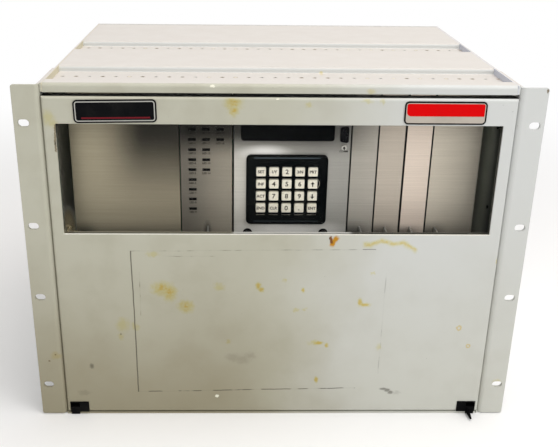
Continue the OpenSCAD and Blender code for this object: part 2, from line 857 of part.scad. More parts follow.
module front_port() {
    insert_proud = 1.4;
    flange_t = 1.5;
    flange = [12.4, 31];
    pin_r = 0.6;
    pin_pitch = 2.77;
    pin_deep = 3;
    color(black) in_frame() difference() {
        union() {
            translate([port_mid[0], 0, port_mid[1]]) {
                along_y(plate_y - insert_proud, insert_proud + plate_t + flange_t)
                    d_outline(port_shell[0], port_shell[1], port_shell_r);
                along_y(plate_back, flange_t) round_rect_at([0, 0], flange, 1);
                for (end = [-1, 1])
                    translate([0, plate_y, end * jack_set]) rotate([90, 0, 0]) {
                        cylinder(r = jack_r, h = jack_h);
                        translate([0, 0, -plate_t - flange_t]) cylinder(r = jack_neck_r, h = plate_t + flange_t);
                    }
            }
        }
        for (end = [-1, 1])
            translate([port_mid[0], plate_y - jack_h - past, port_mid[1] + end * jack_set])
                rotate([-90, 0, 0]) cylinder(r = jack_r / 2, h = jack_h);
        for (row = [0, 1], i = [0:4 - row])
            translate([port_mid[0] + (row - 0.5) * pin_pitch, plate_y - insert_proud - past,
                       port_mid[1] + (i - 2 + row / 2) * pin_pitch])
                rotate([-90, 0, 0]) cylinder(r = pin_r, h = pin_deep + past);
    }
}

module signal_plate_1() {
    module_plate(3);
}

module signal_plate_2() {
    module_plate(4);
}

module signal_plate_3() {
    module_plate(5);
}

module power_plate() {
    module_plate(6);
}

// Flat blades with round front corners that stand on their plates
module module_pulls() {
    front = plate_y - pull_reach;
    color(brushed) in_frame()
        for (x = pulls)
            along_x(x - pull_t / 2, pull_t) {
                round_rect([front, pull_z], [plate_y - pull_r, pull_z + pull_len], pull_r);
                translate([front + pull_r, pull_z]) square([pull_reach - pull_r, pull_len]);
            }
}

// Turned knobs with a collar and a round nose
module module_knobs() {
    collar_h = 1.5;
    collar = 0.8;
    nose_r = 1.8;
    color(black) in_frame()
        for (end = [-1, 1])
            translate([keypad_mid + end * knob_spacing / 2, plate_y, knob_z]) rotate([90, 0, 0])
                rotate_extrude() {
                    square([knob_r + collar, collar_h]);
                    square([knob_r, knob_len - nose_r]);
                    square([knob_r - nose_r, knob_len]);
                    intersection() {
                        translate([knob_r - nose_r, knob_len - nose_r]) circle(r = nose_r);
                        square([knob_r, knob_len]);
                    }
                }
}

// Keypad

function key_mid(k) =
    [keys_mid[0] + (k % key_cols - (key_cols - 1) / 2) * key_pitch,
     key_row_z + (key_rows - 1 - floor(k / key_cols)) * key_pitch];

module keypad_frame() {
    frame_size = [frame_w, frame_h];
    color(black) in_frame() difference() {
        union() {
            along_y(frame_front, frame_t) round_rect_at(frame_mid, frame_size, frame_r);
            along_y(frame_front - rim_h, rim_h) difference() {
                round_rect_at(frame_mid, frame_size, frame_r);
                round_rect_at(frame_mid, frame_size - 2 * [rim_w, rim_w], frame_r - rim_w);
            }
        }
        along_y(frame_front - past, frame_t + 2 * past)
            for (k = [0:len(KEYS) - 1])
                round_rect_at(key_mid(k), [key_w, key_w] + 2 * [key_room, key_room], key_r);
    }
}

key_flange_t = plate_t - key_travel - 0.1;

// A cap with round edges, on the flange that holds it behind the frame
module key(k) {
    cap = [key_w, key_w];
    depth = plate_y - key_front;
    color(cream) in_frame() {
        intersection() {
            along_y(key_front, depth) round_rect_at(key_mid(k), cap, key_r);
            translate([0, key_front, 0])
                front_block(key_mid(k) - cap / 2, key_mid(k) + cap / 2, depth, key_edge_r);
        }
        along_y(plate_y, key_flange_t) round_rect_at(key_mid(k), cap + 2 * [key_flange, key_flange], key_r);
    }
}

module keypad_switch_board() {
    switch_board = keys_cut + [10, 10];
    color(board_green) in_frame()
        along_y(plate_back, board_t) round_rect_at(keys_mid, switch_board, 2);
}

// Front cover

// Pins that stand in the brackets and carry the cover's side flanges
module hinge_pins() {
    pin_head_r = hinge_pin_r + 0.4;
    pin_head_h = 1.2;
    pin_end = cover_x - cover_t - 1.5;
    color(zinc) in_frame()
        for (side = [-1, 1]) on_side(side) translate([0, hinge_back, hinge_z]) rotate([0, 90, 0]) {
            translate([0, 0, pin_end]) cylinder(r = hinge_pin_r, h = leg_x - pin_end + pin_head_h / 2);
            translate([0, 0, leg_x]) cylinder(r = pin_head_r, h = pin_head_h);
        }
}

// The cover's outer or inner form, moved in by a thickness
module cover_form(inward, depth) {
    translate([0, inward, 0])
        front_block([-cover_x + inward, cover_bottom + inward], [cover_x - inward, cover_top - inward], depth,
                    cover_fold_r - inward);
}

latch_inner = latch_x - latch_w;
latch_cut = 0.2;
latch_top = cover_bottom + latch_h;

module front_cover() {
    color(paint) in_frame() difference() {
        cover_form(0, cover_flange);
        cover_form(cover_t, cover_flange);
        along_y(-past, cover_t + 2 * past)
            translate([-window_w / 2, window_z]) square([window_w, window_h]);
        for (side = [-1, 1]) on_side(side) {
            block([latch_inner - latch_cut, -past, cover_bottom - past],
                  [latch_x + latch_cut, cover_flange + past, latch_top + latch_cut]);
            translate([cover_x - cover_t - past, hinge_back, hinge_z])
                rotate([0, 90, 0]) cylinder(r = hinge_pin_r + hinge_clear, h = cover_t + 2 * past);
        }
    }
}

pane_mid = [0, window_z + window_h / 2];
pane_size = [window_w, window_h] + 2 * [pane_lap, pane_lap];

module window_pane() {
    color([0.85, 0.90, 0.90, 0.3]) in_frame()
        along_y(cover_t, pane_t) square_at(pane_mid, pane_size);
}

module square_at(mid, size) {
    translate(mid) square(size, center = true);
}

// A shallow frame behind the cover that clasps the glass
module window_retainer() {
    room = [pane_room, pane_room];
    wall = [retainer_t, retainer_t];
    color(zinc) in_frame() {
        along_y(cover_t, pane_t) difference() {
            square_at(pane_mid, pane_size + 2 * (room + wall));
            square_at(pane_mid, pane_size + 2 * room);
        }
        along_y(cover_t + pane_t, retainer_t) difference() {
            square_at(pane_mid, pane_size + 2 * (room + wall));
            square_at(pane_mid, [window_w, window_h]);
        }
    }
}

badge_x = cover_x - badge_side;

module badge(x, tilt) {
    in_frame() along_y(-badge_t, badge_t)
        translate([x, cover_top - badge_drop]) rotate(tilt) round_rect_at([0, 0], [badge_w, badge_h], badge_r);
}

module left_badge() {
    color(black) badge(-badge_x, badge_tilt);
}

module right_badge() {
    color([0.78, 0.10, 0.12]) badge(badge_x, 0);
}

// Latches

latch_flange_t = 2;
latch_flange = 4;
pocket_top = cover_bottom + bolt_h + bolt_travel + bolt_clear;

module latch_housings() {
    color(black) in_frame()
        for (side = [-1, 1]) on_side(side) difference() {
            union() {
                block([latch_inner, -latch_proud, cover_bottom], [latch_x, latch_depth, latch_top]);
                block([latch_inner - latch_flange, cover_t, latch_top - latch_flange],
                      [latch_x, cover_t + latch_flange_t, latch_top + latch_flange]);
            }
            block([bolt_x - bolt_clear, -latch_proud - past, cover_bottom - past],
                  [bolt_x + bolt_w + bolt_clear, keeper_y + bolt_nose + 2 * bolt_clear, pocket_top]);
        }
}

// A bolt that straddles the sill: a skirt in front of it, a nose behind it
module latch_bolt() {
    skirt_t = latch_proud + sill_back - bolt_clear;
    nose_y = keeper_y + bolt_clear;
    foot = 0.4;
    block([bolt_x, -latch_proud, cover_bottom], [bolt_x + bolt_w, nose_y + bolt_nose, cover_bottom + bolt_h]);
    block([bolt_x, -latch_proud, foot], [bolt_x + bolt_w, -latch_proud + skirt_t, cover_bottom + bolt_h]);
    block([bolt_x, nose_y, foot], [bolt_x + bolt_w, nose_y + bolt_nose, cover_bottom + bolt_h]);
}

module left_latch_bolt() {
    color(black) in_frame() on_side(-1) latch_bolt();
}

// The right bolt still has its finger pull
module right_latch_bolt() {
    tip_r = 1;
    color(black) in_frame() {
        latch_bolt();
        translate([bolt_x + pull_pin_r, -latch_proud / 2, cover_bottom])
            rotate([90, 0, 0])
                cylinder(r1 = pull_pin_r, r2 = tip_r, h = pull_pin_reach - latch_proud / 2);
    }
}

top_plate();
bottom_plate();
left_side_plate();
right_side_plate();
left_rack_bracket();
right_rack_bracket();
case_screws();
rear_cover();
terminal_blocks();
terminal_screws();
serial_ports();
backplane_board();
backplane_sockets();
card_guides();
module_boards();
magnetics_plate();
input_transformers();
target_plate();
target_lamps();
keypad_plate();
display_window();
keypad_frame();
keypad_switch_board();
front_port();
signal_plate_1();
signal_plate_2();
signal_plate_3();
power_plate();
power_heatsink();
module_pulls();
module_knobs();
hinge_pins();
front_cover();
window_pane();
window_retainer();
left_badge();
right_badge();
latch_housings();
left_latch_bolt();
right_latch_bolt();
for (k = [0:len(KEYS) - 1])
    key(k);
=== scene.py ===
"""Protection relay in a 19-inch rack case: finish, lettering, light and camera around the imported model."""
import math
from functools import reduce

import bmesh
import bpy
from mathutils import Matrix, Vector


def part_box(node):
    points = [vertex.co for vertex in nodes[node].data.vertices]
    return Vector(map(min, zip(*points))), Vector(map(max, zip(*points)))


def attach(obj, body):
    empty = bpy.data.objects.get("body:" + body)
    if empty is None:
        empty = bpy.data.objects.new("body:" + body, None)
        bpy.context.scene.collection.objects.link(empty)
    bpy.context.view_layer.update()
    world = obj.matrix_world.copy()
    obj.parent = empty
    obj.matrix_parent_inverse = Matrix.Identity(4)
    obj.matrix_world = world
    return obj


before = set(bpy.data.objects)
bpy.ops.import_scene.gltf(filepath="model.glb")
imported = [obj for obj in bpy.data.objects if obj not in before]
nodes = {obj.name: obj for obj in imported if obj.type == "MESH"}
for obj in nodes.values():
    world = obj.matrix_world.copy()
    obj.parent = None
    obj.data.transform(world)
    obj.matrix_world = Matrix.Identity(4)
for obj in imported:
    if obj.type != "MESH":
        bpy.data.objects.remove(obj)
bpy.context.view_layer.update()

MM = 0.001
FRONT_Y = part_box("left_rack_bracket")[0].y
COVER_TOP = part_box("front_cover")[1].z
FRONT_ZONE = (FRONT_Y + 8 * MM, FRONT_Y + 4 * MM)


def srgb(red, green, blue):
    """A screen colour of 0 to 255 per channel, in the linear form that shaders take."""
    def linear(value):
        share = value / 255
        return share / 12.92 if share <= 0.04045 else ((share + 0.055) / 1.055) ** 2.4
    return (linear(red), linear(green), linear(blue), 1.0)


# Camera, at the photograph's angle, with its place in metres

PHOTO_PX = (558, 447)
OPTICAL_CENTRE_PX = (252.3, 196.9)
FOCAL_PX = 793.8
SENSOR_MM = 36.0
CAMERA_BEFORE_FRONT = 0.6944
CAMERA_X = -0.0395
CAMERA_Z = 0.5184
PITCH_DOWN = math.radians(21.48)
YAW_RIGHT = math.radians(1.20)
ROLL = math.radians(0.67)
CLIP_START = 0.01


def add_camera():
    """The photograph is cropped, so its optical centre lies off the middle and the lens is shifted."""
    ahead = Vector((math.sin(YAW_RIGHT) * math.cos(PITCH_DOWN), math.cos(YAW_RIGHT) * math.cos(PITCH_DOWN),
                    -math.sin(PITCH_DOWN)))
    level = Vector((math.cos(YAW_RIGHT), -math.sin(YAW_RIGHT), 0.0))
    above = level.cross(ahead)
    right = math.cos(ROLL) * level + math.sin(ROLL) * above
    up = math.cos(ROLL) * above - math.sin(ROLL) * level
    width, height = PHOTO_PX
    data = bpy.data.cameras.new("camera")
    data.sensor_width = SENSOR_MM
    data.lens = FOCAL_PX / width * SENSOR_MM
    data.shift_x = (width / 2 - OPTICAL_CENTRE_PX[0]) / width
    data.shift_y = (OPTICAL_CENTRE_PX[1] - height / 2) / width
    data.clip_start = CLIP_START
    camera = bpy.data.objects.new("camera", data)
    turn = Matrix((right, up, -ahead)).transposed().to_4x4()
    camera.matrix_world = Matrix.Translation((CAMERA_X, FRONT_Y - CAMERA_BEFORE_FRONT, CAMERA_Z)) @ turn
    bpy.context.scene.collection.objects.link(camera)
    bpy.context.scene.camera = camera


# Light and floor, in metres and watts

AMBIENT = 0.38
AMBIENT_TINT = (1.0, 0.99, 0.98, 1.0)
BACKDROP = (1.0, 1.0, 1.0, 1.0)
FLOOR_TONE = (0.92, 0.92, 0.92, 1.0)
FLOOR_SIZE = 14.0
FADE_START = 0.4
FADE_END = 1.3


def seen_directly(tree):
    """1 for what the camera, a mirror or a pane looks at, and 0 for the rays that light the object."""
    path = tree.nodes.new("ShaderNodeLightPath")
    total = path.outputs["Is Camera Ray"]
    for name in ("Is Glossy Ray", "Is Transmission Ray"):
        both = tree.nodes.new("ShaderNodeMath")
        both.operation = "MAXIMUM"
        tree.links.new(total, both.inputs[0])
        tree.links.new(path.outputs[name], both.inputs[1])
        total = both.outputs[0]
    return total


def add_world():
    world = bpy.data.worlds.new("studio")
    world.use_nodes = True
    tree = world.node_tree
    lit = tree.nodes["Background"]
    lit.inputs["Color"].default_value = AMBIENT_TINT
    lit.inputs["Strength"].default_value = AMBIENT
    shown = tree.nodes.new("ShaderNodeBackground")
    shown.inputs["Color"].default_value = BACKDROP
    either = tree.nodes.new("ShaderNodeMixShader")
    tree.links.new(seen_directly(tree), either.inputs["Fac"])
    tree.links.new(lit.outputs[0], either.inputs[1])
    tree.links.new(shown.outputs[0], either.inputs[2])
    tree.links.new(either.outputs[0], tree.nodes["World Output"].inputs["Surface"])
    bpy.context.scene.world = world


def add_lamp(name, place, target, size, watts, colour):
    data = bpy.data.lights.new(name, "AREA")
    data.shape = "DISK"
    data.size = size
    data.energy = watts
    data.color = colour
    lamp = bpy.data.objects.new(name, data)
    lamp.location = place
    lamp.rotation_euler = (Vector(target) - Vector(place)).to_track_quat("-Z", "Y").to_euler()
    bpy.context.scene.collection.objects.link(lamp)


def floor_paper():
    """White paper that keeps the object's shadow close by and fades into the white backdrop further out."""
    material = bpy.data.materials.new("floor_paper")
    material.use_nodes = True
    tree = material.node_tree
    paper = tree.nodes["Principled BSDF"]
    paper.inputs["Base Color"].default_value = FLOOR_TONE
    paper.inputs["Roughness"].default_value = 0.9
    paper.inputs["Specular IOR Level"].default_value = 0.1
    away = tree.nodes.new("ShaderNodeVectorMath")
    away.operation = "LENGTH"
    tree.links.new(tree.nodes.new("ShaderNodeTexCoord").outputs["Object"], away.inputs[0])
    fade = tree.nodes.new("ShaderNodeMapRange")
    fade.interpolation_type = "SMOOTHSTEP"
    fade.inputs["From Min"].default_value = FADE_START
    fade.inputs["From Max"].default_value = FADE_END
    tree.links.new(away.outputs["Value"], fade.inputs["Value"])
    share = tree.nodes.new("ShaderNodeMath")
    share.operation = "MULTIPLY"
    tree.links.new(fade.outputs[0], share.inputs[0])
    tree.links.new(seen_directly(tree), share.inputs[1])
    white = tree.nodes.new("ShaderNodeEmission")
    either = tree.nodes.new("ShaderNodeMixShader")
    tree.links.new(share.outputs[0], either.inputs["Fac"])
    tree.links.new(paper.outputs[0], either.inputs[1])
    tree.links.new(white.outputs[0], either.inputs[2])
    tree.links.new(either.outputs[0], tree.nodes["Material Output"].inputs["Surface"])
    return material


def add_floor():
    mesh = bpy.data.meshes.new("floor")
    half = FLOOR_SIZE / 2
    corners = [(-half, -half, 0), (half, -half, 0), (half, half, 0), (-half, half, 0)]
    mesh.from_pydata(corners, [], [(0, 1, 2, 3)])
    mesh.materials.append(floor_paper())
    floor = bpy.data.objects.new("floor", mesh)
    bpy.context.scene.collection.objects.link(floor)


def add_studio():
    bpy.context.scene.view_settings.view_transform = "Standard"
    add_world()
    add_floor()
    add_lamp("overhead", place=(0.5, -0.4, 2.4), target=(0.0, -0.05, 0.2), size=2.2, watts=44.0,
             colour=(1.0, 0.97, 0.945))
    add_lamp("right_fill", place=(2.2, -1.8, 1.3), target=(0.1, -0.17, 0.15), size=1.4, watts=14.0,
             colour=(0.94, 0.98, 1.0))
    add_lamp("front_fill", place=(-0.3, -2.6, 1.6), target=(0.0, -0.13, 0.22), size=1.8, watts=13.0,
             colour=(1.0, 0.99, 0.97))


# Procedural finishes

EDGE_SAMPLES = 6


class Finish:
    """One procedural material, built node by node in the object's own metres."""

    def __init__(self, name, plain):
        self.material = bpy.data.materials.new(name)
        self.material.use_nodes = True
        self.tree = self.material.node_tree
        self.shader = self.tree.nodes["Principled BSDF"]
        coordinates = self.tree.nodes.new("ShaderNodeTexCoord").outputs
        self.place = coordinates["Object"]
        self.facing = coordinates["Normal"]
        self.set(plain)

    def feed(self, socket, value):
        """Links a socket to another socket, or gives it a plain value."""
        if isinstance(value, bpy.types.NodeSocket):
            self.tree.links.new(value, socket)
        else:
            socket.default_value = value

    def set(self, inputs):
        for name, value in inputs.items():
            self.feed(self.shader.inputs[name], value)

    def node(self, kind, inputs, **settings):
        made = self.tree.nodes.new("ShaderNode" + kind)
        for name, value in settings.items():
            setattr(made, name, value)
        for key, value in inputs.items():
            self.feed(made.inputs[key], value)
        return made

    def math(self, operation, first, second=0.0):
        return self.node("Math", {0: first, 1: second}, operation=operation).outputs[0]

    def fold(self, operation, values):
        """One value from several, such as their product or the least of them."""
        return reduce(lambda first, second: self.math(operation, first, second), values)

    def product(self, *values):
        return self.fold("MULTIPLY", values)

    def apart(self, first, second):
        """How far two values lie apart."""
        return self.math("ABSOLUTE", self.math("SUBTRACT", first, second))

    def axis(self, name, place=None):
        """One coordinate of a place, by its letter."""
        return self.node("SeparateXYZ", {0: place or self.place}).outputs[name]

    def stretched(self, per_axis, place=None):
        return self.node("Mapping", {"Vector": place or self.place, "Scale": per_axis}).outputs[0]

    def noise(self, scale, detail=2.0, place=None, output="Fac"):
        """Noise with about scale features a metre, or per axis where scale is a triple."""
        per_axis = scale if isinstance(scale, tuple) else (scale, scale, scale)
        inputs = {"Vector": self.stretched(per_axis, place), "Scale": 1.0, "Detail": detail}
        return self.node("TexNoise", inputs).outputs[output]

    def ramp(self, value, low, high, start=0.0, end=1.0):
        """Goes smoothly from start to end while value goes from low to high."""
        inputs = {"Value": value, "From Min": low, "From Max": high, "To Min": start, "To Max": end}
        return self.node("MapRange", inputs, interpolation_type="SMOOTHSTEP").outputs[0]

    def blend(self, under, over, share, how="MIX"):
        inputs = {0: share, 6: under, 7: over}
        return self.node("Mix", inputs, data_type="RGBA", blend_type=how).outputs[2]

    def layered(self, colour, layers, how="MIX"):
        """A colour under (tint, mask) layers, the last on top."""
        for tint, mask in layers:
            colour = self.blend(colour, tint, mask, how)
        return colour

    def bump(self, height, strength, depth, edge=0.0):
        """Fine relief, on edges that look rounded to some radius."""
        inputs = {"Strength": strength, "Distance": depth, "Height": height}
        if edge:
            inputs["Normal"] = self.node("Bevel", {"Radius": edge}, samples=EDGE_SAMPLES).outputs[0]
        self.set({"Normal": self.node("Bump", inputs).outputs[0]})

    def warped(self, scale, reach):
        """The place, pushed about by noise, for marks with ragged edges."""
        push = self.node("VectorMath", {0: self.noise(scale, detail=3.0, output="Color"), 1: (0.5, 0.5, 0.5)},
                         operation="SUBTRACT").outputs[0]
        scaled = self.node("VectorMath", {0: push, "Scale": 2 * reach}, operation="SCALE").outputs[0]
        return self.node("VectorMath", {0: self.place, 1: scaled}, operation="ADD").outputs[0]

    def near_spots(self, spots, place=None):
        """Distance to the nearest of some spots (x, z, x radius, z radius) in mm, 1 on a spot's own edge."""
        distances = []
        for x, z, reach_x, reach_z in spots:
            inputs = {"Vector": place or self.place, "Location": (-x / reach_x, 0.0, -z / reach_z),
                      "Scale": (1 / (reach_x * MM), 0.0, 1 / (reach_z * MM))}
            local = self.node("Mapping", inputs).outputs[0]
            distances.append(self.node("VectorMath", {0: local}, operation="LENGTH").outputs["Value"])
        return self.fold("MINIMUM", distances)

    def stroke(self, start, end, width, place=None):
        """1 on a straight mark from start to end (x, z), soft at its edges, all in mm."""
        run, rise = end[0] - start[0], end[1] - start[1]
        half = math.hypot(run, rise) / 2 * MM
        middle = ((start[0] + end[0]) / 2 * MM, 0.0, (start[1] + end[1]) / 2 * MM)
        inputs = {"Vector": place or self.place, "Location": middle,
                  "Rotation": (0.0, -math.atan2(rise, run), 0.0)}
        local = self.node("Mapping", inputs, vector_type="TEXTURE").outputs[0]
        across = self.math("ABSOLUTE", self.axis("Z", local))
        along = self.math("ABSOLUTE", self.axis("X", local))
        reach = width * MM
        return self.product(self.ramp(across, reach, reach / 3), self.ramp(along, half + reach, half))

    def path(self, points, width, place=None):
        """1 on a run of straight marks from point to point."""
        strokes = [self.stroke(start, end, width, place) for start, end in zip(points, points[1:])]
        return self.fold("MAXIMUM", strokes)


# Paint, with the stains and wear of this object and painted light and shade

PAINT = srgb(209, 211, 209)
# Painted warm tint of the light from above, on faces that look up
PAINT_WARM = srgb(209, 204, 198)
# Yellowing partly of age and partly painted shade; darker paint for dirt and for painted shade
PAINT_AGED_AND_SHADED = srgb(187, 186, 170)
PAINT_DIRT_AND_SHADE = srgb(136, 127, 100)
GRIME = srgb(58, 52, 38)
# Painted shade for gaps, seams and the inside of the case
PAINTED_GAP_SHADE = srgb(10, 9, 7)
BROWN = srgb(104, 86, 52)
RUST = srgb(186, 130, 0)
RUST_DARK = srgb(116, 66, 4)
CHIP = srgb(232, 230, 212)
# Painted highlight on the sill under the window
SILL_HIGHLIGHT = srgb(252, 251, 240)
AMBER_FILM = (0.98, 0.78, 0.36, 1.0)
YELLOW_FILM = (0.98, 0.88, 0.52, 1.0)
PALE_FILM = (0.97, 0.92, 0.63, 1.0)
DUST_FILM = (0.62, 0.54, 0.45, 1.0)
EDGE_RADIUS = 0.7 * MM
PAINT_SHINE = 0.35

# Where the front goes from clean to yellowed, partly by age and partly as painted shade, and to darker painted
# shade, in metres, and how far that border wanders
YELLOW_X = (0.15, -0.02)
YELLOW_Z = (0.32, 0.0)
SHADE_X = (0.14, -0.10)
SHADE_Z = (0.25, -0.02)
BORDER_DRIFT = 0.09

# Guide holes in the channels of the top plate
HOLE_GRID_X = -3.1 * MM
HOLE_PITCH = 12.7 * MM
HOLE_ROWS = (56.7 * MM, 197.6 * MM)
HOLE_RIM = 3.0 * MM


def aged_paint_with_painted_light(coat):
    """Sprayed paint with painted light: a painted warm tint where it faces up, and on the front yellowed at the
    left, partly by age and partly as painted shade, and darker below as painted shade.
    """
    near_front = coat.ramp(coat.axis("Y"), *FRONT_ZONE)
    not_behind = coat.ramp(coat.axis("Y", coat.facing), 0.5, 0.1)
    on_front = coat.product(near_front, not_behind)
    drift = coat.product(coat.math("SUBTRACT", coat.noise(11.0, detail=4.0), 0.5), BORDER_DRIFT)
    x = coat.math("ADD", coat.axis("X"), drift)
    z = coat.math("ADD", coat.axis("Z"), drift)
    # Painted shade on the front: yellower towards the left, partly with age, and darker towards the lower left
    yellowed = coat.math("MAXIMUM", coat.ramp(x, *YELLOW_X), coat.ramp(z, *YELLOW_Z, end=0.55))
    painted_shade = coat.product(coat.ramp(x, *SHADE_X), coat.ramp(z, *SHADE_Z, end=0.80))
    specks = coat.ramp(coat.noise(330.0, detail=1.0), 0.78, 0.83, end=0.25)
    mottled = coat.product(coat.ramp(coat.noise(34.0, detail=6.0), 0.42, 0.72, end=0.14), yellowed)
    front = coat.layered(PAINT, [(PAINT_AGED_AND_SHADED, yellowed), (PAINT_DIRT_AND_SHADE, painted_shade), (PAINT_DIRT_AND_SHADE, mottled)])
    # Painted light: warmer where the paint faces up
    faces_up = coat.ramp(coat.axis("Z", coat.facing), 0.4, 0.9)
    return coat.layered(PAINT, [(PAINT_WARM, faces_up), (front, on_front), (GRIME, specks)])


def satin(coat):
    """Satin gloss with the fine orange peel of sprayed paint."""
    coat.set({"Roughness": coat.ramp(coat.noise(40.0, detail=3.0), 0.3, 0.7, start=0.40, end=0.52)})
    coat.bump(coat.noise(1100.0, detail=1.0), strength=0.05, depth=0.4 * MM, edge=EDGE_RADIUS)


def dusty_holes(coat):
    """1 on the dirty rims of the guide holes in the top plate's channels, less where noise spares them."""
    x = coat.math("SUBTRACT", coat.axis("X"), HOLE_GRID_X)
    from_hole_x = coat.math("PINGPONG", x, HOLE_PITCH / 2)
    from_row = coat.fold("MINIMUM", [coat.apart(coat.axis("Y"), FRONT_Y + row) for row in HOLE_ROWS])
    away = coat.math("SQRT", coat.math("ADD", coat.product(from_hole_x, from_hole_x),
                                       coat.product(from_row, from_row)))
    rims = coat.ramp(away, HOLE_RIM, HOLE_RIM / 2)
    upper = coat.math("GREATER_THAN", coat.axis("Z"), COVER_TOP)
    return coat.product(rims, upper, coat.ramp(coat.noise((70.0, 1.0, 1.0)), 0.35, 0.65, start=0.15))


def case_paint():
    """Paint of the case and brackets, with the marks of the lip and the brackets' faces."""
    channel_wall_y = FRONT_Y + 76 * MM
    coat = Finish("case_paint", {"Specular IOR Level": PAINT_SHINE})
    y = coat.axis("Y")
    on_front = coat.ramp(y, *FRONT_ZONE)
    on_wall = coat.ramp(coat.apart(y, channel_wall_y), 9 * MM, 6 * MM)
    ragged = coat.warped(160.0, 3 * MM)
    tight = coat.warped(420.0, 1 * MM)
    pale_spots = [(-222.5, 70.5, 6, 5), (81, 346.5, 5, 3), (232, 39, 5, 4)]
    dark_spots = [(-229.6, 64.6, 1.3, 1), (239.9, 348.4, 1.1, 2.2), (-223, 72, 1, 1)]
    chip_spots = [(-61.6, 350.2, 2.8, 1.4)]
    wall_spots = [(43, 347, 2.2, 1.5)]
    pale = coat.ramp(coat.near_spots(pale_spots, ragged), 1.2, 0.2, end=0.7)
    dot = coat.ramp(coat.near_spots(wall_spots, tight), 1.2, 0.3)
    dark = coat.ramp(coat.near_spots(dark_spots, tight), 1.2, 0.5, end=0.85)
    chip = coat.ramp(coat.near_spots(chip_spots, tight), 1.0, 0.6)
    films = [(YELLOW_FILM, coat.product(pale, on_front)), (YELLOW_FILM, coat.product(dot, on_wall)),
             (DUST_FILM, dusty_holes(coat))]
    marks = [(BROWN, coat.product(dark, on_front)), (CHIP, coat.product(chip, on_front))]
    colour = coat.layered(aged_paint_with_painted_light(coat), films, "MULTIPLY")
    coat.set({"Base Color": coat.layered(colour, marks)})
    satin(coat)
    return coat.material


def side_paint(name, inside, near_cover, strip):
    """Paint of a side plate, with painted light and shade on its inside and on the upper strip that the
    channels show: darker near the cover, lighter further in, and tinted differently on each side.
    """
    shade_start, shade_end = FRONT_Y + 36 * MM, FRONT_Y + 72 * MM
    skin = 1.5 * MM
    inner_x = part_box("right_side_plate")[1].x - skin
    coat = Finish(name, {"Specular IOR Level": PAINT_SHINE})
    inner = coat.math("LESS_THAN", coat.math("ABSOLUTE", coat.axis("X")), inner_x)
    below = coat.math("LESS_THAN", coat.axis("Z"), COVER_TOP)
    depth = coat.ramp(coat.axis("Y"), shade_start, shade_end)
    # Painted shade near the cover and painted light further in, over the strip's painted tone
    layers = [(strip, inner), (coat.blend(near_cover, inside, depth), coat.product(inner, below))]
    coat.set({"Base Color": coat.layered(aged_paint_with_painted_light(coat), layers)})
    satin(coat)
    return coat.material


# Marks on the cover's face in mm: a spot has x, z and its reach along both, a path has points (x, z)
YELLOW_SPOTS = [(-43, 336, 8, 6), (-43, 329.5, 5, 6), (-113, 148, 9, 7), (-106, 144, 7, 9),
                (-89.5, 128, 7.5, 6.5)]
SMALL_SPOTS = [(-18, 151, 3, 4), (-15, 147, 3, 3), (26.2, 146.6, 2, 2.6), (83.4, 133, 2.4, 4.6),
               (88, 130, 6, 2.4), (43.3, 42, 2.2, 4), (52, 83, 2.2, 2.8), (44, 86, 5, 2),
               (215, 178, 1.2, 3.5)]
PALE_SPOTS = [(-56.7, 149.7, 6, 5), (-120, 185, 7, 3.4), (-153, 107, 7, 9), (-141, 105, 4.5, 5),
              (-155, 94, 4, 4.5), (-47.8, 87, 2.6, 3.2), (20, 124, 3.4, 2.4), (28, 124, 2.6, 1.8),
              (40, 86, 9, 3.2), (105, 81, 3.4, 4), (8.6, 157.6, 2, 1.6),
              (94, 165.5, 2, 2), (-210, 321, 7, 8), (-206, 316, 5, 5), (78, 338, 6, 2.4),
              (91, 337, 2, 3), (25, 334, 4, 3)]
RING_SPOTS = [(185.5, 103.6, 2.6, 2.8), (197, 82.5, 2.4, 2.2)]
DARK_SPOTS = [(-187, 58.6, 2.6, 3.2), (114, 30.6, 4.6, 1.4), (118, 29.2, 3.6, 2.2), (121.5, 26.4, 3, 2.4),
              (-155.5, 96, 0.9, 1.2)]
FAINT_SPOTS = [(-43, 69, 9, 6), (-33, 67, 10, 7), (-25, 71, 6, 5), (-197, 26, 8, 4), (128, 26, 6, 3)]
GRIME_SPOTS = [(-205, 297, 0.8, 2.4), (50, 202.4, 0.7, 1.6)]
CHIP_SPOTS = [(-59.3, 22, 2.3, 2.2), (-2.9, 339.3, 1.6, 0.9)]
DRIP = [(56.6, 202.6), (53.6, 198.8), (52.6, 195.8)]
DRIP_EDGE = [(51, 203.8), (52, 198)]
STREAK = [(85, 196.2), (90, 195.7), (100.6, 199.9), (112.5, 196.9), (121, 198.4), (133, 190)]
EDGE_WEAR = [(-204.3, 314), (-204.9, 303), (-205.3, 298), (-205, 289)]
LABEL_CORNERS = {"lower left": (-140.5, 27.5), "lower right": (84, 32), "upper left": (-141.7, 188.5),
                 "upper right": (96, 190.8)}


def label_outline(coat):
    """What is left of the edge of a label that has been taken off: thin broken lines, slightly askew."""
    place = coat.warped(50.0, 0.8 * MM)
    broken = coat.ramp(coat.noise((70.0, 1.0, 70.0), detail=2.0), 0.44, 0.54, start=0.1)
    rare = coat.ramp(coat.noise((90.0, 1.0, 90.0), detail=3.0), 0.46, 0.66, start=0.08, end=0.6)
    corner = LABEL_CORNERS
    # Each line has its two ends, its width and the share of it that is left
    lines = [(corner["upper left"], corner["lower left"], 0.85, 1.0),
             (corner["lower left"], corner["lower right"], 0.7, broken),
             (corner["upper left"], corner["upper right"], 0.6, rare),
             ((-110, 183), (-60, 183.2), 0.5, rare),
             ((107, 50), (107.3, 165), 0.7, coat.product(rare, 0.6)),
             ((-134.2, 166), (-134.8, 118), 0.7, rare),
             ((82.8, 190.8), (95.4, 190.9), 0.6, 0.8)]
    return coat.fold("MAXIMUM", [coat.product(coat.stroke(start, end, width, place), share)
                                 for start, end, width, share in lines])


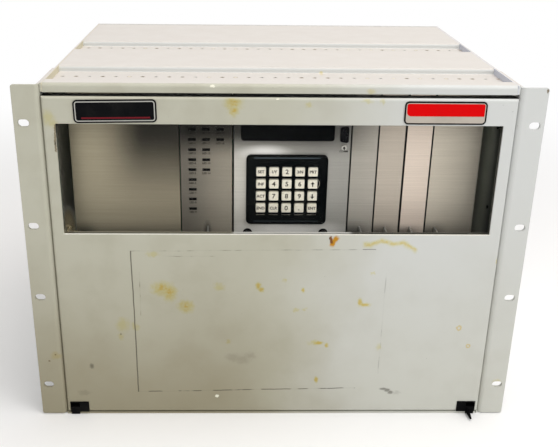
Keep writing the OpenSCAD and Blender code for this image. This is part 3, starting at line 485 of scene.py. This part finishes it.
def painted_sill_highlight(coat):
    """1 on the edge of the sheet under the window, where a painted highlight lies."""
    pane_lap = 5 * MM
    low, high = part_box("window_pane")
    sill_z = low.z + pane_lap
    sill_end = high.x - pane_lap
    on_edge = coat.ramp(coat.apart(coat.axis("Z"), sill_z), 0.5 * MM, 0.2 * MM)
    in_window = coat.ramp(coat.math("ABSOLUTE", coat.axis("X")), sill_end + 0.5 * MM, sill_end)
    return coat.product(on_edge, in_window)


def cover_paint():
    """The same paint with the stains, chips and label outline of the cover's face, with painted shade in the
    gap above it and a painted highlight on the sill.
    """
    coat = Finish("cover_paint", {"Specular IOR Level": PAINT_SHINE})
    ragged = coat.warped(260.0, 4 * MM)
    tight = coat.warped(420.0, 1.2 * MM)
    wavy = coat.warped(110.0, 2.5 * MM)
    grainy = coat.warped(330.0, 1.8 * MM)
    near_yellow = coat.near_spots(YELLOW_SPOTS, ragged)
    near_small = coat.near_spots(SMALL_SPOTS, grainy)
    blotches = coat.ramp(coat.noise(330.0, detail=3.0), 0.35, 0.62, start=0.3)
    y = coat.axis("Y")
    on_face = coat.ramp(y, FRONT_Y + 1.0 * MM, FRONT_Y + 0.5 * MM)
    rings = coat.apart(coat.near_spots(RING_SPOTS, tight), 0.8)
    films = [
        (PALE_FILM, coat.ramp(coat.near_spots(PALE_SPOTS, ragged), 1.3, 0.2, end=0.9)),
        (PALE_FILM, coat.ramp(near_yellow, 1.6, 0.7, end=0.8)),
        (YELLOW_FILM, coat.product(coat.ramp(near_yellow, 1.15, 0.3), blotches)),
        (AMBER_FILM, coat.product(coat.ramp(near_yellow, 0.6, 0.1, end=0.7), blotches)),
        (PALE_FILM, coat.ramp(near_small, 1.5, 0.6, end=0.8)),
        (YELLOW_FILM, coat.ramp(near_small, 1.1, 0.4)),
        (AMBER_FILM, coat.ramp(near_small, 0.8, 0.2, end=0.5)),
        (AMBER_FILM, coat.ramp(rings, 0.5, 0.15, end=0.8)),
        (PALE_FILM, coat.product(coat.path(STREAK, 4.2, wavy), 0.8)),
        (YELLOW_FILM, coat.product(coat.path(STREAK, 2.4, wavy), blotches, 0.8)),
        (AMBER_FILM, coat.product(coat.path(STREAK, 1.5, wavy), blotches, 0.25)),
    ]
    marks = [
        (GRIME, coat.ramp(coat.near_spots(FAINT_SPOTS, ragged), 1.2, 0.2, end=0.18)),
        (GRIME, coat.ramp(coat.near_spots(DARK_SPOTS, tight), 1.3, 0.4, end=0.6)),
        (GRIME, coat.product(label_outline(coat), 0.8)),
        (BROWN, coat.product(coat.path(EDGE_WEAR, 1.3, tight), 0.8)),
        (GRIME, coat.ramp(coat.near_spots(GRIME_SPOTS, tight), 1.2, 0.5)),
        (RUST, coat.path(DRIP, 3.5, tight)),
        (RUST_DARK, coat.path(DRIP_EDGE, 1.8, tight)),
        (CHIP, coat.ramp(coat.near_spots(CHIP_SPOTS, tight), 1.0, 0.6, end=0.95)),
    ]
    films = [(tint, coat.product(mask, on_face)) for tint, mask in films]
    marks = [(tint, coat.product(mask, on_face)) for tint, mask in marks]
    colour = coat.layered(coat.layered(aged_paint_with_painted_light(coat), films, "MULTIPLY"), marks)
    # Painted shade on the cover's top edge, in the gap under the case's lip
    behind_face = coat.ramp(y, FRONT_Y + 1.6 * MM, FRONT_Y + 2.6 * MM)
    at_top = coat.ramp(coat.axis("Z"), COVER_TOP - 2 * MM, COVER_TOP - 1 * MM)
    # Painted shade at the top and a painted highlight on the sill
    layers = [(PAINTED_GAP_SHADE, coat.product(behind_face, at_top)), (SILL_HIGHLIGHT, painted_sill_highlight(coat))]
    coat.set({"Base Color": coat.layered(colour, layers)})
    satin(coat)
    return coat.material


# Metal, plastic, glass and boards

# Each plate's tone at its left and at its right edge; the change across a plate is painted shading
PLATE_COLOURS = {
    "magnetics_plate": (srgb(173, 164, 140), srgb(158, 149, 127)),
    "target_plate": (srgb(112, 107, 97), srgb(158, 151, 136)),
    "keypad_plate": (srgb(210, 207, 197), srgb(172, 170, 163)),
    "signal_plate_1": (srgb(182, 177, 166), srgb(190, 184, 173)),
    "signal_plate_2": (srgb(206, 195, 180), srgb(208, 197, 182)),
    "signal_plate_3": (srgb(242, 226, 210), srgb(242, 226, 210)),
    "power_plate": (srgb(216, 207, 190), srgb(190, 183, 168)),
    "module_pulls": (srgb(150, 150, 146), srgb(150, 150, 146)),
}

# Zones of the plates in mm: painted dark reflections above a height for each plate and between two borders in
# x, and again near the sill, most of all beside the pulls; the brushing streaks share their dark colour
GRAIN_AND_DARK_REFLECTION = srgb(24, 23, 19)
DARK_REFLECTION_FROM = {"magnetics_plate": 212}
DARK_REFLECTION_FROM_OTHERS = 266
DARK_REFLECTION_FULL = 297
DARK_REFLECTION_SHARE = 0.96
DARK_REFLECTION_LEFT = (-180, -128)
DARK_REFLECTION_RIGHT = (115, 30)
# Painted sheen: highlights put into the keypad plate's colour
SHEEN = srgb(255, 253, 248)
SHEEN_SPOTS = [(-12, 275, 28, 9), (0, 195, 34, 13), (14, 193, 66, 12)]
# Painted dark reflections low on the plates, most of all beside the pulls
LOW_DARK_REFLECTION = srgb(34, 37, 35)
LOW_DARK_REFLECTION_FROM = {"magnetics_plate": 206, "signal_plate_1": 210, "signal_plate_2": 206, "signal_plate_3": 203,
                 "power_plate": 208}
LOW_DARK_REFLECTION_FULL = 190
BELOW_SILL = (150, 180)
BESIDE_PULL = (26, 8)
PULL_SHADE = [(-69, 190, 4.5, 15)]
# Painted shade in the seam along each plate's left edge, its width in mm
SEAM_FADE = 0.4
SEAM_W = {"target_plate": 0.4, "keypad_plate": 1.2, "signal_plate_1": 0.8, "signal_plate_2": 0.8,
          "signal_plate_3": 1.3, "power_plate": 0.8}


def shade_of(colour, factor):
    """A colour made darker or lighter by a factor."""
    return tuple(min(1.0, channel * factor) for channel in colour[:3]) + (1.0,)


def brushed_metal(node):
    """Sheet metal brushed from left to right, with painted shading across it, painted dark reflections in
    zones, painted shade in the seams and the keypad plate's painted sheen.
    """
    metal = Finish("brushed_" + node, {"Metallic": 0.5, "Anisotropic": 0.8, "Anisotropic Rotation": 0.25,
                                       "Specular IOR Level": 0.3})
    low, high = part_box(node)
    left, right = PLATE_COLOURS[node]
    x = metal.axis("X")
    x_mm, z_mm = metal.product(x, 1 / MM), metal.product(metal.axis("Z"), 1 / MM)
    fine = metal.noise((16.0, 900.0, 1500.0), detail=4.0)
    # Painted shading from the plate's left tone to its right tone
    tone = metal.blend(left, right, metal.ramp(x, low.x, high.x))
    streaks = metal.ramp(fine, 0.3, 0.7, end=0.08)
    # Painted dark reflections high on the plate
    upper = metal.ramp(z_mm, DARK_REFLECTION_FROM.get(node, DARK_REFLECTION_FROM_OTHERS), DARK_REFLECTION_FULL, end=DARK_REFLECTION_SHARE)
    dark_reflection = metal.product(upper, metal.ramp(x_mm, *DARK_REFLECTION_LEFT), metal.ramp(x_mm, *DARK_REFLECTION_RIGHT))
    layers = [(GRAIN_AND_DARK_REFLECTION, streaks), (GRAIN_AND_DARK_REFLECTION, dark_reflection)]
    # Painted sheen on the keypad plate
    if node == "keypad_plate":
        layers.append((SHEEN, metal.ramp(metal.near_spots(SHEEN_SPOTS), 1.2, 0.1, end=0.95)))
    # Painted dark reflections low on the plate, beside the pulls
    if node in LOW_DARK_REFLECTION_FROM:
        lower = metal.ramp(z_mm, LOW_DARK_REFLECTION_FROM[node], LOW_DARK_REFLECTION_FULL, end=0.8)
        beside = metal.ramp(metal.math("SUBTRACT", x_mm, low.x / MM), *BESIDE_PULL, start=0.45)
        layers.append((LOW_DARK_REFLECTION, metal.product(lower, beside, metal.ramp(z_mm, *BELOW_SILL))))
    # Painted shade beside the target plate's pull
    if node == "target_plate":
        layers.append((LOW_DARK_REFLECTION, metal.ramp(metal.near_spots(PULL_SHADE), 1.2, 0.2, end=0.75)))
    # Painted shade in the seam at the plate's left edge
    if node in SEAM_W:
        seam = low.x / MM + SEAM_W[node]
        layers.append((PAINTED_GAP_SHADE, metal.ramp(x_mm, seam, seam - SEAM_FADE)))
    metal.set({"Base Color": metal.layered(tone, layers),
               "Roughness": metal.ramp(fine, 0.3, 0.7, start=0.46, end=0.52),
               "Tangent": metal.node("Tangent", {}, direction_type="RADIAL", axis="Z").outputs[0]})
    metal.bump(fine, strength=0.025, depth=0.2 * MM, edge=0.4 * MM)
    return metal.material


def plain_metal(name, colour, roughness):
    """Plated or anodised metal with a cloudy sheen, and painted shade where it lies inside the front of the
    case.
    """
    front_part = 100 * MM
    metal = Finish(name, {"Metallic": 1.0})
    clouds = metal.noise(260.0, detail=3.0)
    tone = metal.blend(shade_of(colour, 0.75), colour, metal.ramp(clouds, 0.3, 0.6))
    # Painted shade on the metal inside the front of the case
    within = metal.math("LESS_THAN", metal.math("ABSOLUTE", metal.axis("X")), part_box("right_side_plate")[0].x)
    in_front = metal.math("LESS_THAN", metal.axis("Y"), FRONT_Y + front_part)
    metal.set({"Base Color": metal.blend(tone, PAINTED_GAP_SHADE, metal.product(within, in_front)),
               "Roughness": metal.ramp(clouds, 0.3, 0.7, start=roughness - 0.06, end=roughness + 0.1)})
    metal.bump(metal.noise(1500.0, detail=1.0), strength=0.08, depth=0.3 * MM, edge=0.3 * MM)
    return metal.material


def retainer_finish():
    """Steel frame round the glass in painted light: painted shade at the sides, and on its lower bar painted
    reflections of the plates' tones with a painted highlight in the middle.
    """
    bar_h = 9 * MM
    soft = 3 * MM
    side_shade = srgb(70, 72, 66)
    bar_left, bar_middle, bar_right = srgb(150, 146, 128), srgb(226, 226, 220), srgb(96, 96, 88)
    steel = Finish("retainer_finish", {"Specular IOR Level": 0.3, "Roughness": 0.45})
    bar_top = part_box("window_retainer")[0].z + bar_h
    keypad_low, keypad_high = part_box("keypad_plate")
    x = steel.axis("X")
    on_bar = steel.ramp(steel.axis("Z"), bar_top + 1 * MM, bar_top)
    past_left = steel.ramp(x, keypad_low.x - soft, keypad_low.x + soft)
    past_right = steel.ramp(x, keypad_high.x - soft, keypad_high.x + soft)
    # Painted reflections of the plates along the bar, brightest below the keypad plate as a painted highlight
    bar = steel.layered(bar_left, [(bar_middle, past_left), (bar_right, past_right)])
    steel.set({"Base Color": steel.blend(side_shade, bar, on_bar)})
    return steel.material


BLACK_SHINE = 0.04
DEEP_BLACK_SHINE = 0.008


def moulded(name, colour, dusty, roughness, dust, shine=0.4):
    """Moulded plastic or print: fine spark texture, and dust that greys it in places."""
    plastic = Finish(name, {"Specular IOR Level": shine})
    clouds = plastic.ramp(plastic.noise(55.0, detail=4.0), 0.42, 0.75, end=dust)
    gloss = plastic.noise(90.0, detail=3.0)
    plastic.set({"Base Color": plastic.blend(colour, dusty, clouds),
                 "Roughness": plastic.ramp(gloss, 0.3, 0.7, start=roughness - 0.05, end=roughness + 0.1)})
    plastic.bump(plastic.noise(2200.0, detail=1.0), strength=0.12, depth=0.2 * MM, edge=0.3 * MM)
    return plastic.material


def window_glass():
    """Clear plate glass with a thin film of dust, and haze and crumbs of dirt in its lower left corner."""
    crumb_spots = [(-199, 210, 12, 7)]
    haze_spots = [(-199, 216, 6.5, 18)]
    glass = Finish("window_glass", {"Specular IOR Level": 0.5})
    wipes = glass.noise((25.0, 1.0, 160.0), detail=2.0)
    film = glass.math("ADD", glass.noise(14.0, detail=4.0), glass.product(wipes, 0.3))
    corner = glass.ramp(glass.near_spots(crumb_spots), 1.0, 0.2)
    haze = glass.ramp(glass.near_spots(haze_spots), 1.2, 0.2, end=0.18)
    crumbs = glass.product(glass.ramp(glass.noise(420.0, detail=2.0), 0.52, 0.64, end=0.6), corner)
    dirt = glass.math("ADD", crumbs, haze)
    tint = glass.blend(srgb(206, 208, 200), srgb(124, 112, 80), glass.ramp(dirt, 0.0, 0.1))
    glass.set({"Base Color": tint,
               "Alpha": glass.math("ADD", glass.ramp(film, 0.45, 0.95, start=0.001, end=0.006), dirt),
               "Roughness": glass.ramp(film, 0.4, 0.9, start=0.05, end=0.16)})
    return glass.material


def display_filter():
    """Dark filter in front of the display, glossy, with a few dust specks."""
    screen = Finish("display_filter", {"Specular IOR Level": DEEP_BLACK_SHINE})
    specks = screen.ramp(screen.noise(700.0, detail=1.0), 0.74, 0.82, end=0.2)
    screen.set({"Base Color": screen.blend(srgb(2, 3, 6), srgb(60, 60, 56), specks),
                "Roughness": screen.ramp(screen.noise(60.0, detail=3.0), 0.3, 0.7, start=0.12, end=0.24)})
    screen.bump(screen.noise(90.0, detail=2.0), strength=0.05, depth=0.4 * MM, edge=0.4 * MM)
    return screen.material


def circuit_board():
    """Green laminate, cloudy, with paler tracks."""
    board = Finish("circuit_board", {"Specular IOR Level": 0.5, "Roughness": 0.4})
    tracks = board.node("TexBrick", {"Vector": board.stretched((260.0, 260.0, 260.0)), "Scale": 1.0,
                                     "Mortar Size": 0.12}).outputs["Fac"]
    colour = board.blend(srgb(28, 92, 56), srgb(64, 128, 84), tracks)
    clouds = board.ramp(board.noise(30.0, detail=3.0), 0.4, 0.7)
    board.set({"Base Color": board.blend(colour, srgb(20, 66, 42), clouds)})
    board.bump(tracks, strength=0.2, depth=0.3 * MM)
    return board.material


def laminated_core():
    """Varnished steel laminations, seen as fine layers."""
    core = Finish("laminated_core", {"Roughness": 0.45, "Metallic": 0.6})
    layers = core.node("TexWave", {"Vector": core.place, "Scale": 320.0, "Distortion": 0.3},
                       bands_direction="Y").outputs["Fac"]
    core.set({"Base Color": core.blend(srgb(74, 62, 50), srgb(128, 112, 94), layers)})
    core.bump(layers, strength=0.4, depth=0.4 * MM)
    return core.material


def port_finish():
    """Black connector body with bright jack screws above and below it, each with a painted dark centre for the
    shade in its bore.
    """
    low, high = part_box("front_port")
    middle = (low.z + high.z) / 2
    screw_start = 9.3 * MM
    screw_r = 2.4 * MM
    port = Finish("port_finish", {"Specular IOR Level": BLACK_SHINE})
    from_mid = port.apart(port.axis("Z"), middle)
    in_front = port.math("LESS_THAN", port.axis("Y"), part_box("keypad_plate")[0].y + 0.2 * MM)
    bright = port.product(port.math("GREATER_THAN", from_mid, screw_start), in_front)
    centre_x = (low.x + high.x) / 2
    screw_zs = (low.z + screw_r, high.z - screw_r)
    screws = [(centre_x / MM, z / MM, screw_r / MM, screw_r / MM) for z in screw_zs]
    # Painted shade in the middle of each jack screw, for its bore
    shiny = port.blend(srgb(52, 50, 44), srgb(188, 186, 178), port.ramp(port.near_spots(screws), 0.42, 0.55))
    port.set({"Base Color": port.blend(srgb(14, 14, 18), shiny, bright), "Metallic": bright,
              "Roughness": port.ramp(port.noise(300.0, detail=2.0), 0.3, 0.7, start=0.25, end=0.45)})
    return port.material


def rear_port_finish():
    """Plated rear ports, each with two rows of pins in a black insert at the end of its shell."""
    flange_len = 53.0 * MM
    insert_w, insert_len = 6.6 * MM, 34.5 * MM
    pin_pitch, pin_row, pin_half = 2.77 * MM, 1.42 * MM, 0.45 * MM
    low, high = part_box("serial_ports")
    middle = (low + high) / 2
    port_pitch = (high.z - low.z - flange_len) / 2
    port = Finish("rear_port_finish", {})
    across = port.apart(port.axis("X"), middle.x)
    along = port.math("PINGPONG", port.math("SUBTRACT", port.axis("Z"), middle.z), port_pitch / 2)
    in_width = port.math("LESS_THAN", across, insert_w / 2)
    in_length = port.math("LESS_THAN", along, insert_len / 2)
    at_end = port.math("GREATER_THAN", port.axis("Y"), high.y - 0.1 * MM)
    insert = port.product(in_width, in_length, at_end)
    from_row = port.apart(across, pin_row)
    from_pin = port.math("PINGPONG", along, pin_pitch / 2)
    pin = port.product(insert, port.math("LESS_THAN", port.math("MAXIMUM", from_row, from_pin), pin_half))
    clouds = port.ramp(port.noise(260.0, detail=3.0), 0.3, 0.6)
    plating = port.blend(srgb(150, 150, 146), srgb(190, 190, 186), clouds)
    port.set({"Base Color": port.layered(plating, [(srgb(16, 16, 18), insert), (srgb(206, 178, 104), pin)]),
              "Metallic": port.math("SUBTRACT", 1.0, port.math("SUBTRACT", insert, pin)),
              "Roughness": port.ramp(clouds, 0.0, 1.0, start=0.42, end=0.3)})
    return port.material


def frame_finish():
    """Black keypad frame, with a glint along the rim above and below and a scratch round one key."""
    scratch_radius = 6.7
    glint_w, glint_from_rim, glint_from_side = 0.9, 2.9, 8.0
    frame_low, frame_high = (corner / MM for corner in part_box("keypad_frame"))
    low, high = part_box("key_up")
    middle = (low + high) / 2
    rim = Finish("frame_finish", {"Specular IOR Level": DEEP_BLACK_SHINE})
    spot = [(middle.x / MM, middle.z / MM, scratch_radius, scratch_radius)]
    near = rim.near_spots(spot, rim.warped(300.0, 0.6 * MM))
    ring = rim.ramp(rim.apart(near, 1.0), 0.08, 0.03, end=0.5)
    right_half = rim.ramp(rim.axis("X"), middle.x + 3 * MM, middle.x + 5 * MM)
    dust = rim.ramp(rim.noise(120.0, detail=4.0), 0.5, 0.8, end=0.05)
    layers = [(srgb(90, 90, 84), dust)]
    for z, share in ((frame_high.z - glint_from_rim, 0.8), (frame_low.z + glint_from_rim, 0.35)):
        ends = (frame_low.x + glint_from_side, z), (frame_high.x - glint_from_side, z)
        layers.append((srgb(84, 94, 100), rim.product(rim.stroke(*ends, glint_w), share)))
    layers.append((srgb(196, 190, 174), rim.product(ring, right_half)))
    rim.set({"Base Color": rim.layered(srgb(6, 9, 11), layers),
             "Roughness": rim.ramp(rim.noise(90.0, detail=3.0), 0.3, 0.7, start=0.32, end=0.5)})
    rim.bump(rim.noise(2400.0, detail=1.0), strength=0.1, depth=0.2 * MM, edge=0.5 * MM)
    return rim.material


def cream_key():
    """Cream key caps, slightly grimy in places."""
    cap = Finish("cream_key", {"Specular IOR Level": 0.35})
    grime = cap.ramp(cap.noise(420.0, detail=3.0), 0.45, 0.75, end=0.3)
    cap.set({"Base Color": cap.blend(srgb(255, 249, 231), srgb(206, 190, 156), grime),
             "Roughness": cap.ramp(cap.noise(200.0, detail=2.0), 0.3, 0.7, start=0.38, end=0.5)})
    cap.bump(cap.noise(2600.0, detail=1.0), strength=0.06, depth=0.2 * MM)
    return cap.material


def dress(finish, *names):
    """Gives CAD nodes a finish."""
    for name in names:
        nodes[name].data.materials.clear()
        nodes[name].data.materials.append(finish)


def dress_nodes():
    """Every CAD node in its finish."""
    dress(case_paint(), "top_plate", "bottom_plate", "left_rack_bracket", "right_rack_bracket", "rear_cover")
    # Painted light and shade inside each side plate, different on the left and on the right
    left_side = side_paint("left_side_paint", inside=srgb(255, 252, 228), near_cover=srgb(140, 138, 120),
                           strip=srgb(208, 200, 174))
    right_side = side_paint("right_side_paint", inside=srgb(244, 246, 226), near_cover=srgb(50, 52, 47),
                            strip=srgb(214, 218, 231))
    dress(left_side, "left_side_plate")
    dress(right_side, "right_side_plate")
    dress(cover_paint(), "front_cover")
    for name in PLATE_COLOURS:
        dress(brushed_metal(name), name)
    dress(plain_metal("zinc", srgb(200, 200, 196), 0.32), "case_screws", "terminal_screws", "hinge_pins")
    dress(rear_port_finish(), "serial_ports")
    dress(retainer_finish(), "window_retainer")
    dress(plain_metal("black_anodised", srgb(44, 44, 46), 0.45), "power_heatsink")
    black = moulded("black_plastic", srgb(9, 9, 10), srgb(66, 64, 58), roughness=0.42, dust=0.12,
                    shine=BLACK_SHINE)
    dress(black, "module_knobs", "latch_housings", "left_latch_bolt", "right_latch_bolt", "target_lamps")
    phenolic = moulded("terminal_plastic", srgb(26, 26, 27), srgb(92, 88, 80), roughness=0.5, dust=0.3,
                       shine=0.25)
    dress(phenolic, "terminal_blocks")
    nylon = moulded("nylon", srgb(226, 220, 200), srgb(190, 182, 156), roughness=0.5, dust=0.5)
    dress(nylon, "card_guides", "backplane_sockets")
    dress(circuit_board(), "backplane_board", "module_boards", "keypad_switch_board")
    dress(laminated_core(), "input_transformers")
    dress(window_glass(), "window_pane")
    dress(display_filter(), "display_window")
    dress(port_finish(), "front_port")
    dress(frame_finish(), "keypad_frame")
    badge_black = moulded("badge_black", srgb(12, 13, 15), srgb(60, 58, 54), roughness=0.3, dust=0.15,
                          shine=BLACK_SHINE)
    dress(badge_black, "left_badge", "right_badge")
    dress(cream_key(), *KEY_LEGENDS)


# Printed details

KEY_LEGENDS = {
    "key_set": "SET", "key_1": "1/Y", "key_2": "2", "key_3": "3/N", "key_print": "PRT",
    "key_info": "INF", "key_4": "4", "key_5": "5", "key_6": "6", "key_up": "",
    "key_act": "ACT", "key_7": "7", "key_8": "8", "key_9": "9", "key_down": "",
    "key_end": "END", "key_clear": "CLR", "key_0": "0", "key_point": ".", "key_enter": "ENT",
}
INK_T = 0.06 * MM


def new_piece(name, mesh, material, body):
    """A printed piece that rides on a body, in the given material."""
    piece = bpy.data.objects.new(name, mesh)
    bpy.context.scene.collection.objects.link(piece)
    mesh.materials.append(material)
    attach(piece, body)


def text_mesh(words, height, middle, back_y, bold=0.0):
    """A flat printed word, its back at back_y, centred on middle (x, z) in metres and facing the front."""
    curve = bpy.data.curves.new("words", "FONT")
    curve.body = words
    curve.size = height
    curve.offset = bold
    curve.align_x = "CENTER"
    curve.align_y = "CENTER"
    curve.extrude = INK_T / 2
    curve.resolution_u = 3
    holder = bpy.data.objects.new("words", curve)
    bpy.context.scene.collection.objects.link(holder)
    bpy.context.view_layer.update()
    mesh = bpy.data.meshes.new_from_object(holder.evaluated_get(bpy.context.evaluated_depsgraph_get()))
    bpy.data.objects.remove(holder)
    upright = Matrix.Rotation(math.pi / 2, 4, "X")
    mesh.transform(Matrix.Translation((middle[0], back_y - INK_T / 2, middle[1])) @ upright)
    return mesh


def joined(name, meshes):
    """Several meshes as one."""
    built = bmesh.new()
    for mesh in meshes:
        built.from_mesh(mesh)
    whole = bpy.data.meshes.new(name)
    built.to_mesh(whole)
    built.free()
    return whole


def mesh_from(built, name):
    """A mesh of what was built, with its faces turned outwards."""
    bmesh.ops.recalc_face_normals(built, faces=built.faces)
    mesh = bpy.data.meshes.new(name)
    built.to_mesh(mesh)
    built.free()
    return mesh


def slab_mesh(name, outline, back_y, thickness=INK_T):
    """An outline of (x, z) points in metres, extruded towards the front from back_y."""
    built = bmesh.new()
    face = built.faces.new([built.verts.new((x, back_y - thickness, z)) for x, z in outline])
    raised = bmesh.ops.extrude_face_region(built, geom=[face])["geom"]
    for vert in (item for item in raised if isinstance(item, bmesh.types.BMVert)):
        vert.co.y = back_y
    return mesh_from(built, name)


def round_rect(middle, size, radii, steps=6):
    """Outline of a rectangle with round corners: upper right, upper left, lower left, lower right."""
    points = []
    for quarter, (side_x, side_z) in enumerate(((1, 1), (-1, 1), (-1, -1), (1, -1))):
        radius = radii[quarter]
        centre_x = middle[0] + side_x * (size[0] / 2 - radius)
        centre_z = middle[1] + side_z * (size[1] / 2 - radius)
        for step in range(steps + 1):
            angle = math.pi / 2 * (quarter + step / steps)
            points.append((centre_x + radius * math.cos(angle), centre_z + radius * math.sin(angle)))
    return points


def ring_mesh(name, middle, size, radius, width, back_y):
    """A rounded rectangular line of some width, printed on back_y."""
    outer = round_rect(middle, size, (radius,) * 4)
    inner = round_rect(middle, (size[0] - 2 * width, size[1] - 2 * width), (radius - width,) * 4)
    built = bmesh.new()
    loops = [[built.verts.new((x, y, z)) for x, z in line]
             for y in (back_y, back_y - INK_T) for line in (outer, inner)]
    back_outer, back_inner, front_outer, front_inner = loops
    count = len(outer)
    for one, other in ((front_outer, front_inner), (back_inner, back_outer), (back_outer, front_outer),
                       (front_inner, back_inner)):
        for i in range(count):
            following = (i + 1) % count
            built.faces.new((one[i], one[following], other[following], other[i]))
    return mesh_from(built, name)


def arrow_outline(middle, way):
    """An arrow that points up (way 1) or down (way -1), in metres."""
    half_head, half_stem, tip, neck, foot = 1.9, 0.6, 2.6, 0.2, -2.4
    points = ((0, tip), (half_head, neck), (half_stem, neck), (half_stem, foot), (-half_stem, foot),
              (-half_stem, neck), (-half_head, neck))
    return [(middle.x + x * MM, middle.z + way * z * MM) for x, z in points]


def add_key_legends():
    """A digit, word or arrow on each key, riding on it."""
    digit_h = 6.6 * MM
    word_h = 4.0 * MM
    bold = 0.12 * MM
    ink = moulded("legend_ink", srgb(44, 36, 27), srgb(80, 68, 52), roughness=0.6, dust=0.4, shine=0.1)
    for key, legend in KEY_LEGENDS.items():
        low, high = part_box(key)
        middle = (low + high) / 2
        name = key + "_legend"
        if legend:
            height = digit_h if len(legend) == 1 else word_h
            mesh = text_mesh(legend, height, (middle.x, middle.z), low.y, bold)
        else:
            way = 1 if key == "key_up" else -1
            mesh = slab_mesh(name, arrow_outline(middle, way), low.y)
        new_piece(name, mesh, ink, key[len("key_"):] + "_key")


def add_key_lines():
    """The faint pale line on the keypad's frame under each key, a painted highlight of a lit edge."""
    rim_h = 0.9 * MM
    line_size = (9.0 * MM, 0.3 * MM)
    line_r = 0.1 * MM
    line_t = 0.02 * MM
    below = 7.55 * MM
    field_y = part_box("keypad_frame")[0].y + rim_h
    meshes = []
    for key in KEY_LEGENDS:
        low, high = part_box(key)
        middle = ((low.x + high.x) / 2, (low.z + high.z) / 2 - below)
        outline = round_rect(middle, line_size, (line_r,) * 4, steps=2)
        meshes.append(slab_mesh("key_line", outline, field_y, line_t))
    # Painted highlight: a pale line where the edge under each key catches light
    pale = moulded("key_line_highlight", srgb(190, 184, 166), srgb(112, 108, 96), roughness=0.6, dust=1.0, shine=0.1)
    new_piece("key_lines", joined("key_lines", meshes), pale, "case")


def add_plate_words():
    """A label under each indicator lamp and one under the front port."""
    lamp_w, lamp_h = 7.5 * MM, 2.5 * MM
    lamps_per_column = (9, 5, 2)
    below_lamp = 3.8 * MM
    below_port = 1.6 * MM
    word_h = 2.7 * MM
    bold = 0.06 * MM
    low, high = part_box("target_lamps")
    pitch_x = (high.x - low.x - lamp_w) / (len(lamps_per_column) - 1)
    pitch_z = (high.z - low.z - lamp_h) / (max(lamps_per_column) - 1)
    meshes = []
    for column, count in enumerate(lamps_per_column):
        for row in range(count):
            place = (low.x + lamp_w / 2 + column * pitch_x, high.z - lamp_h / 2 - below_lamp - row * pitch_z)
            word = "LED " + str(len(meshes) + 1)
            meshes.append(text_mesh(word, word_h, place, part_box("target_plate")[0].y, bold))
    port_low, port_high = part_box("front_port")
    port_word = ((port_low.x + port_high.x) / 2, port_low.z - below_port)
    meshes.append(text_mesh("COMM", word_h, port_word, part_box("keypad_plate")[0].y, bold))
    ink = moulded("panel_ink", srgb(22, 21, 18), srgb(52, 50, 44), roughness=0.6, dust=0.4, shine=0.05)
    new_piece("plate_words", joined("plate_words", meshes), ink, "case")


BADGE_SIZE = (75 * MM, 21.5 * MM)
BADGE_R = 4.0 * MM
LEFT_BADGE_TILT = math.radians(0.9)
BADGE_BORDER = 1.4 * MM


def badge_frame(node):
    """Middle (x, z) and front face of a badge, in metres."""
    low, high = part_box(node)
    return ((low.x + high.x) / 2, (low.z + high.z) / 2), low.y


def add_left_badge():
    """A bare black badge with a silver keyline and a dark red line, stuck on slightly askew."""
    keyline_w = 1.0 * MM
    line_from_ends, line_from_foot, line_aside = 6.5 * MM, 4.6 * MM, 0.5 * MM
    line_h, line_r = 1.5 * MM, 0.3 * MM
    middle, face = badge_frame("left_badge")
    width, height = BADGE_SIZE
    keyline_size = (width - 2 * BADGE_BORDER, height - 2 * BADGE_BORDER)
    keyline = ring_mesh("left_badge_keyline", (0, 0), keyline_size, BADGE_R - BADGE_BORDER, keyline_w, face)
    line_size = (width - 2 * line_from_ends, line_h)
    line_mid = (line_aside, line_from_foot - height / 2)
    line = slab_mesh("left_badge_line", round_rect(line_mid, line_size, (line_r,) * 4, steps=2), face)
    askew = Matrix.Translation((middle[0], 0, middle[1])) @ Matrix.Rotation(-LEFT_BADGE_TILT, 4, "Y")
    for mesh in (keyline, line):
        mesh.transform(askew)
    silver = moulded("badge_silver", srgb(178, 178, 172), srgb(140, 140, 132), roughness=0.35, dust=0.4,
                     shine=0.3)
    red = moulded("badge_line_red", srgb(112, 30, 38), srgb(90, 40, 42), roughness=0.4, dust=0.3,
                  shine=BLACK_SHINE)
    new_piece("left_badge_keyline", keyline, silver, "cover")
    new_piece("left_badge_line", line, red, "cover")


def add_right_badge():
    """A bare badge with a red field over a pale strip, inside a black border."""
    middle, face = badge_frame("right_badge")
    plate_size = (BADGE_SIZE[0] - 2 * BADGE_BORDER, BADGE_SIZE[1] - 2 * BADGE_BORDER)
    plate_r = BADGE_R - BADGE_BORDER
    keyline = 0.7 * MM
    strip_h = 6.3 * MM
    red_size = (plate_size[0] - 2 * keyline, plate_size[1] - keyline - strip_h)
    red_mid = (middle[0], middle[1] + (strip_h - keyline) / 2)
    red_radii = (1.9 * MM, 1.9 * MM, 4.0 * MM, 0.4 * MM)
    pale = moulded("badge_pale", srgb(188, 179, 167), srgb(164, 155, 142), roughness=0.4, dust=0.5, shine=0.3)
    red = moulded("badge_field_red", srgb(220, 4, 8), srgb(196, 16, 18), roughness=0.35, dust=0.3,
                  shine=BLACK_SHINE)
    plate = slab_mesh("right_badge_plate", round_rect(middle, plate_size, (plate_r,) * 4), face)
    field = slab_mesh("right_badge_field", round_rect(red_mid, red_size, red_radii), face - INK_T)
    new_piece("right_badge_plate", plate, pale, "cover")
    new_piece("right_badge_field", field, red, "cover")


add_camera()
add_studio()
dress_nodes()
add_key_legends()
add_key_lines()
add_plate_words()
add_left_badge()
add_right_badge()
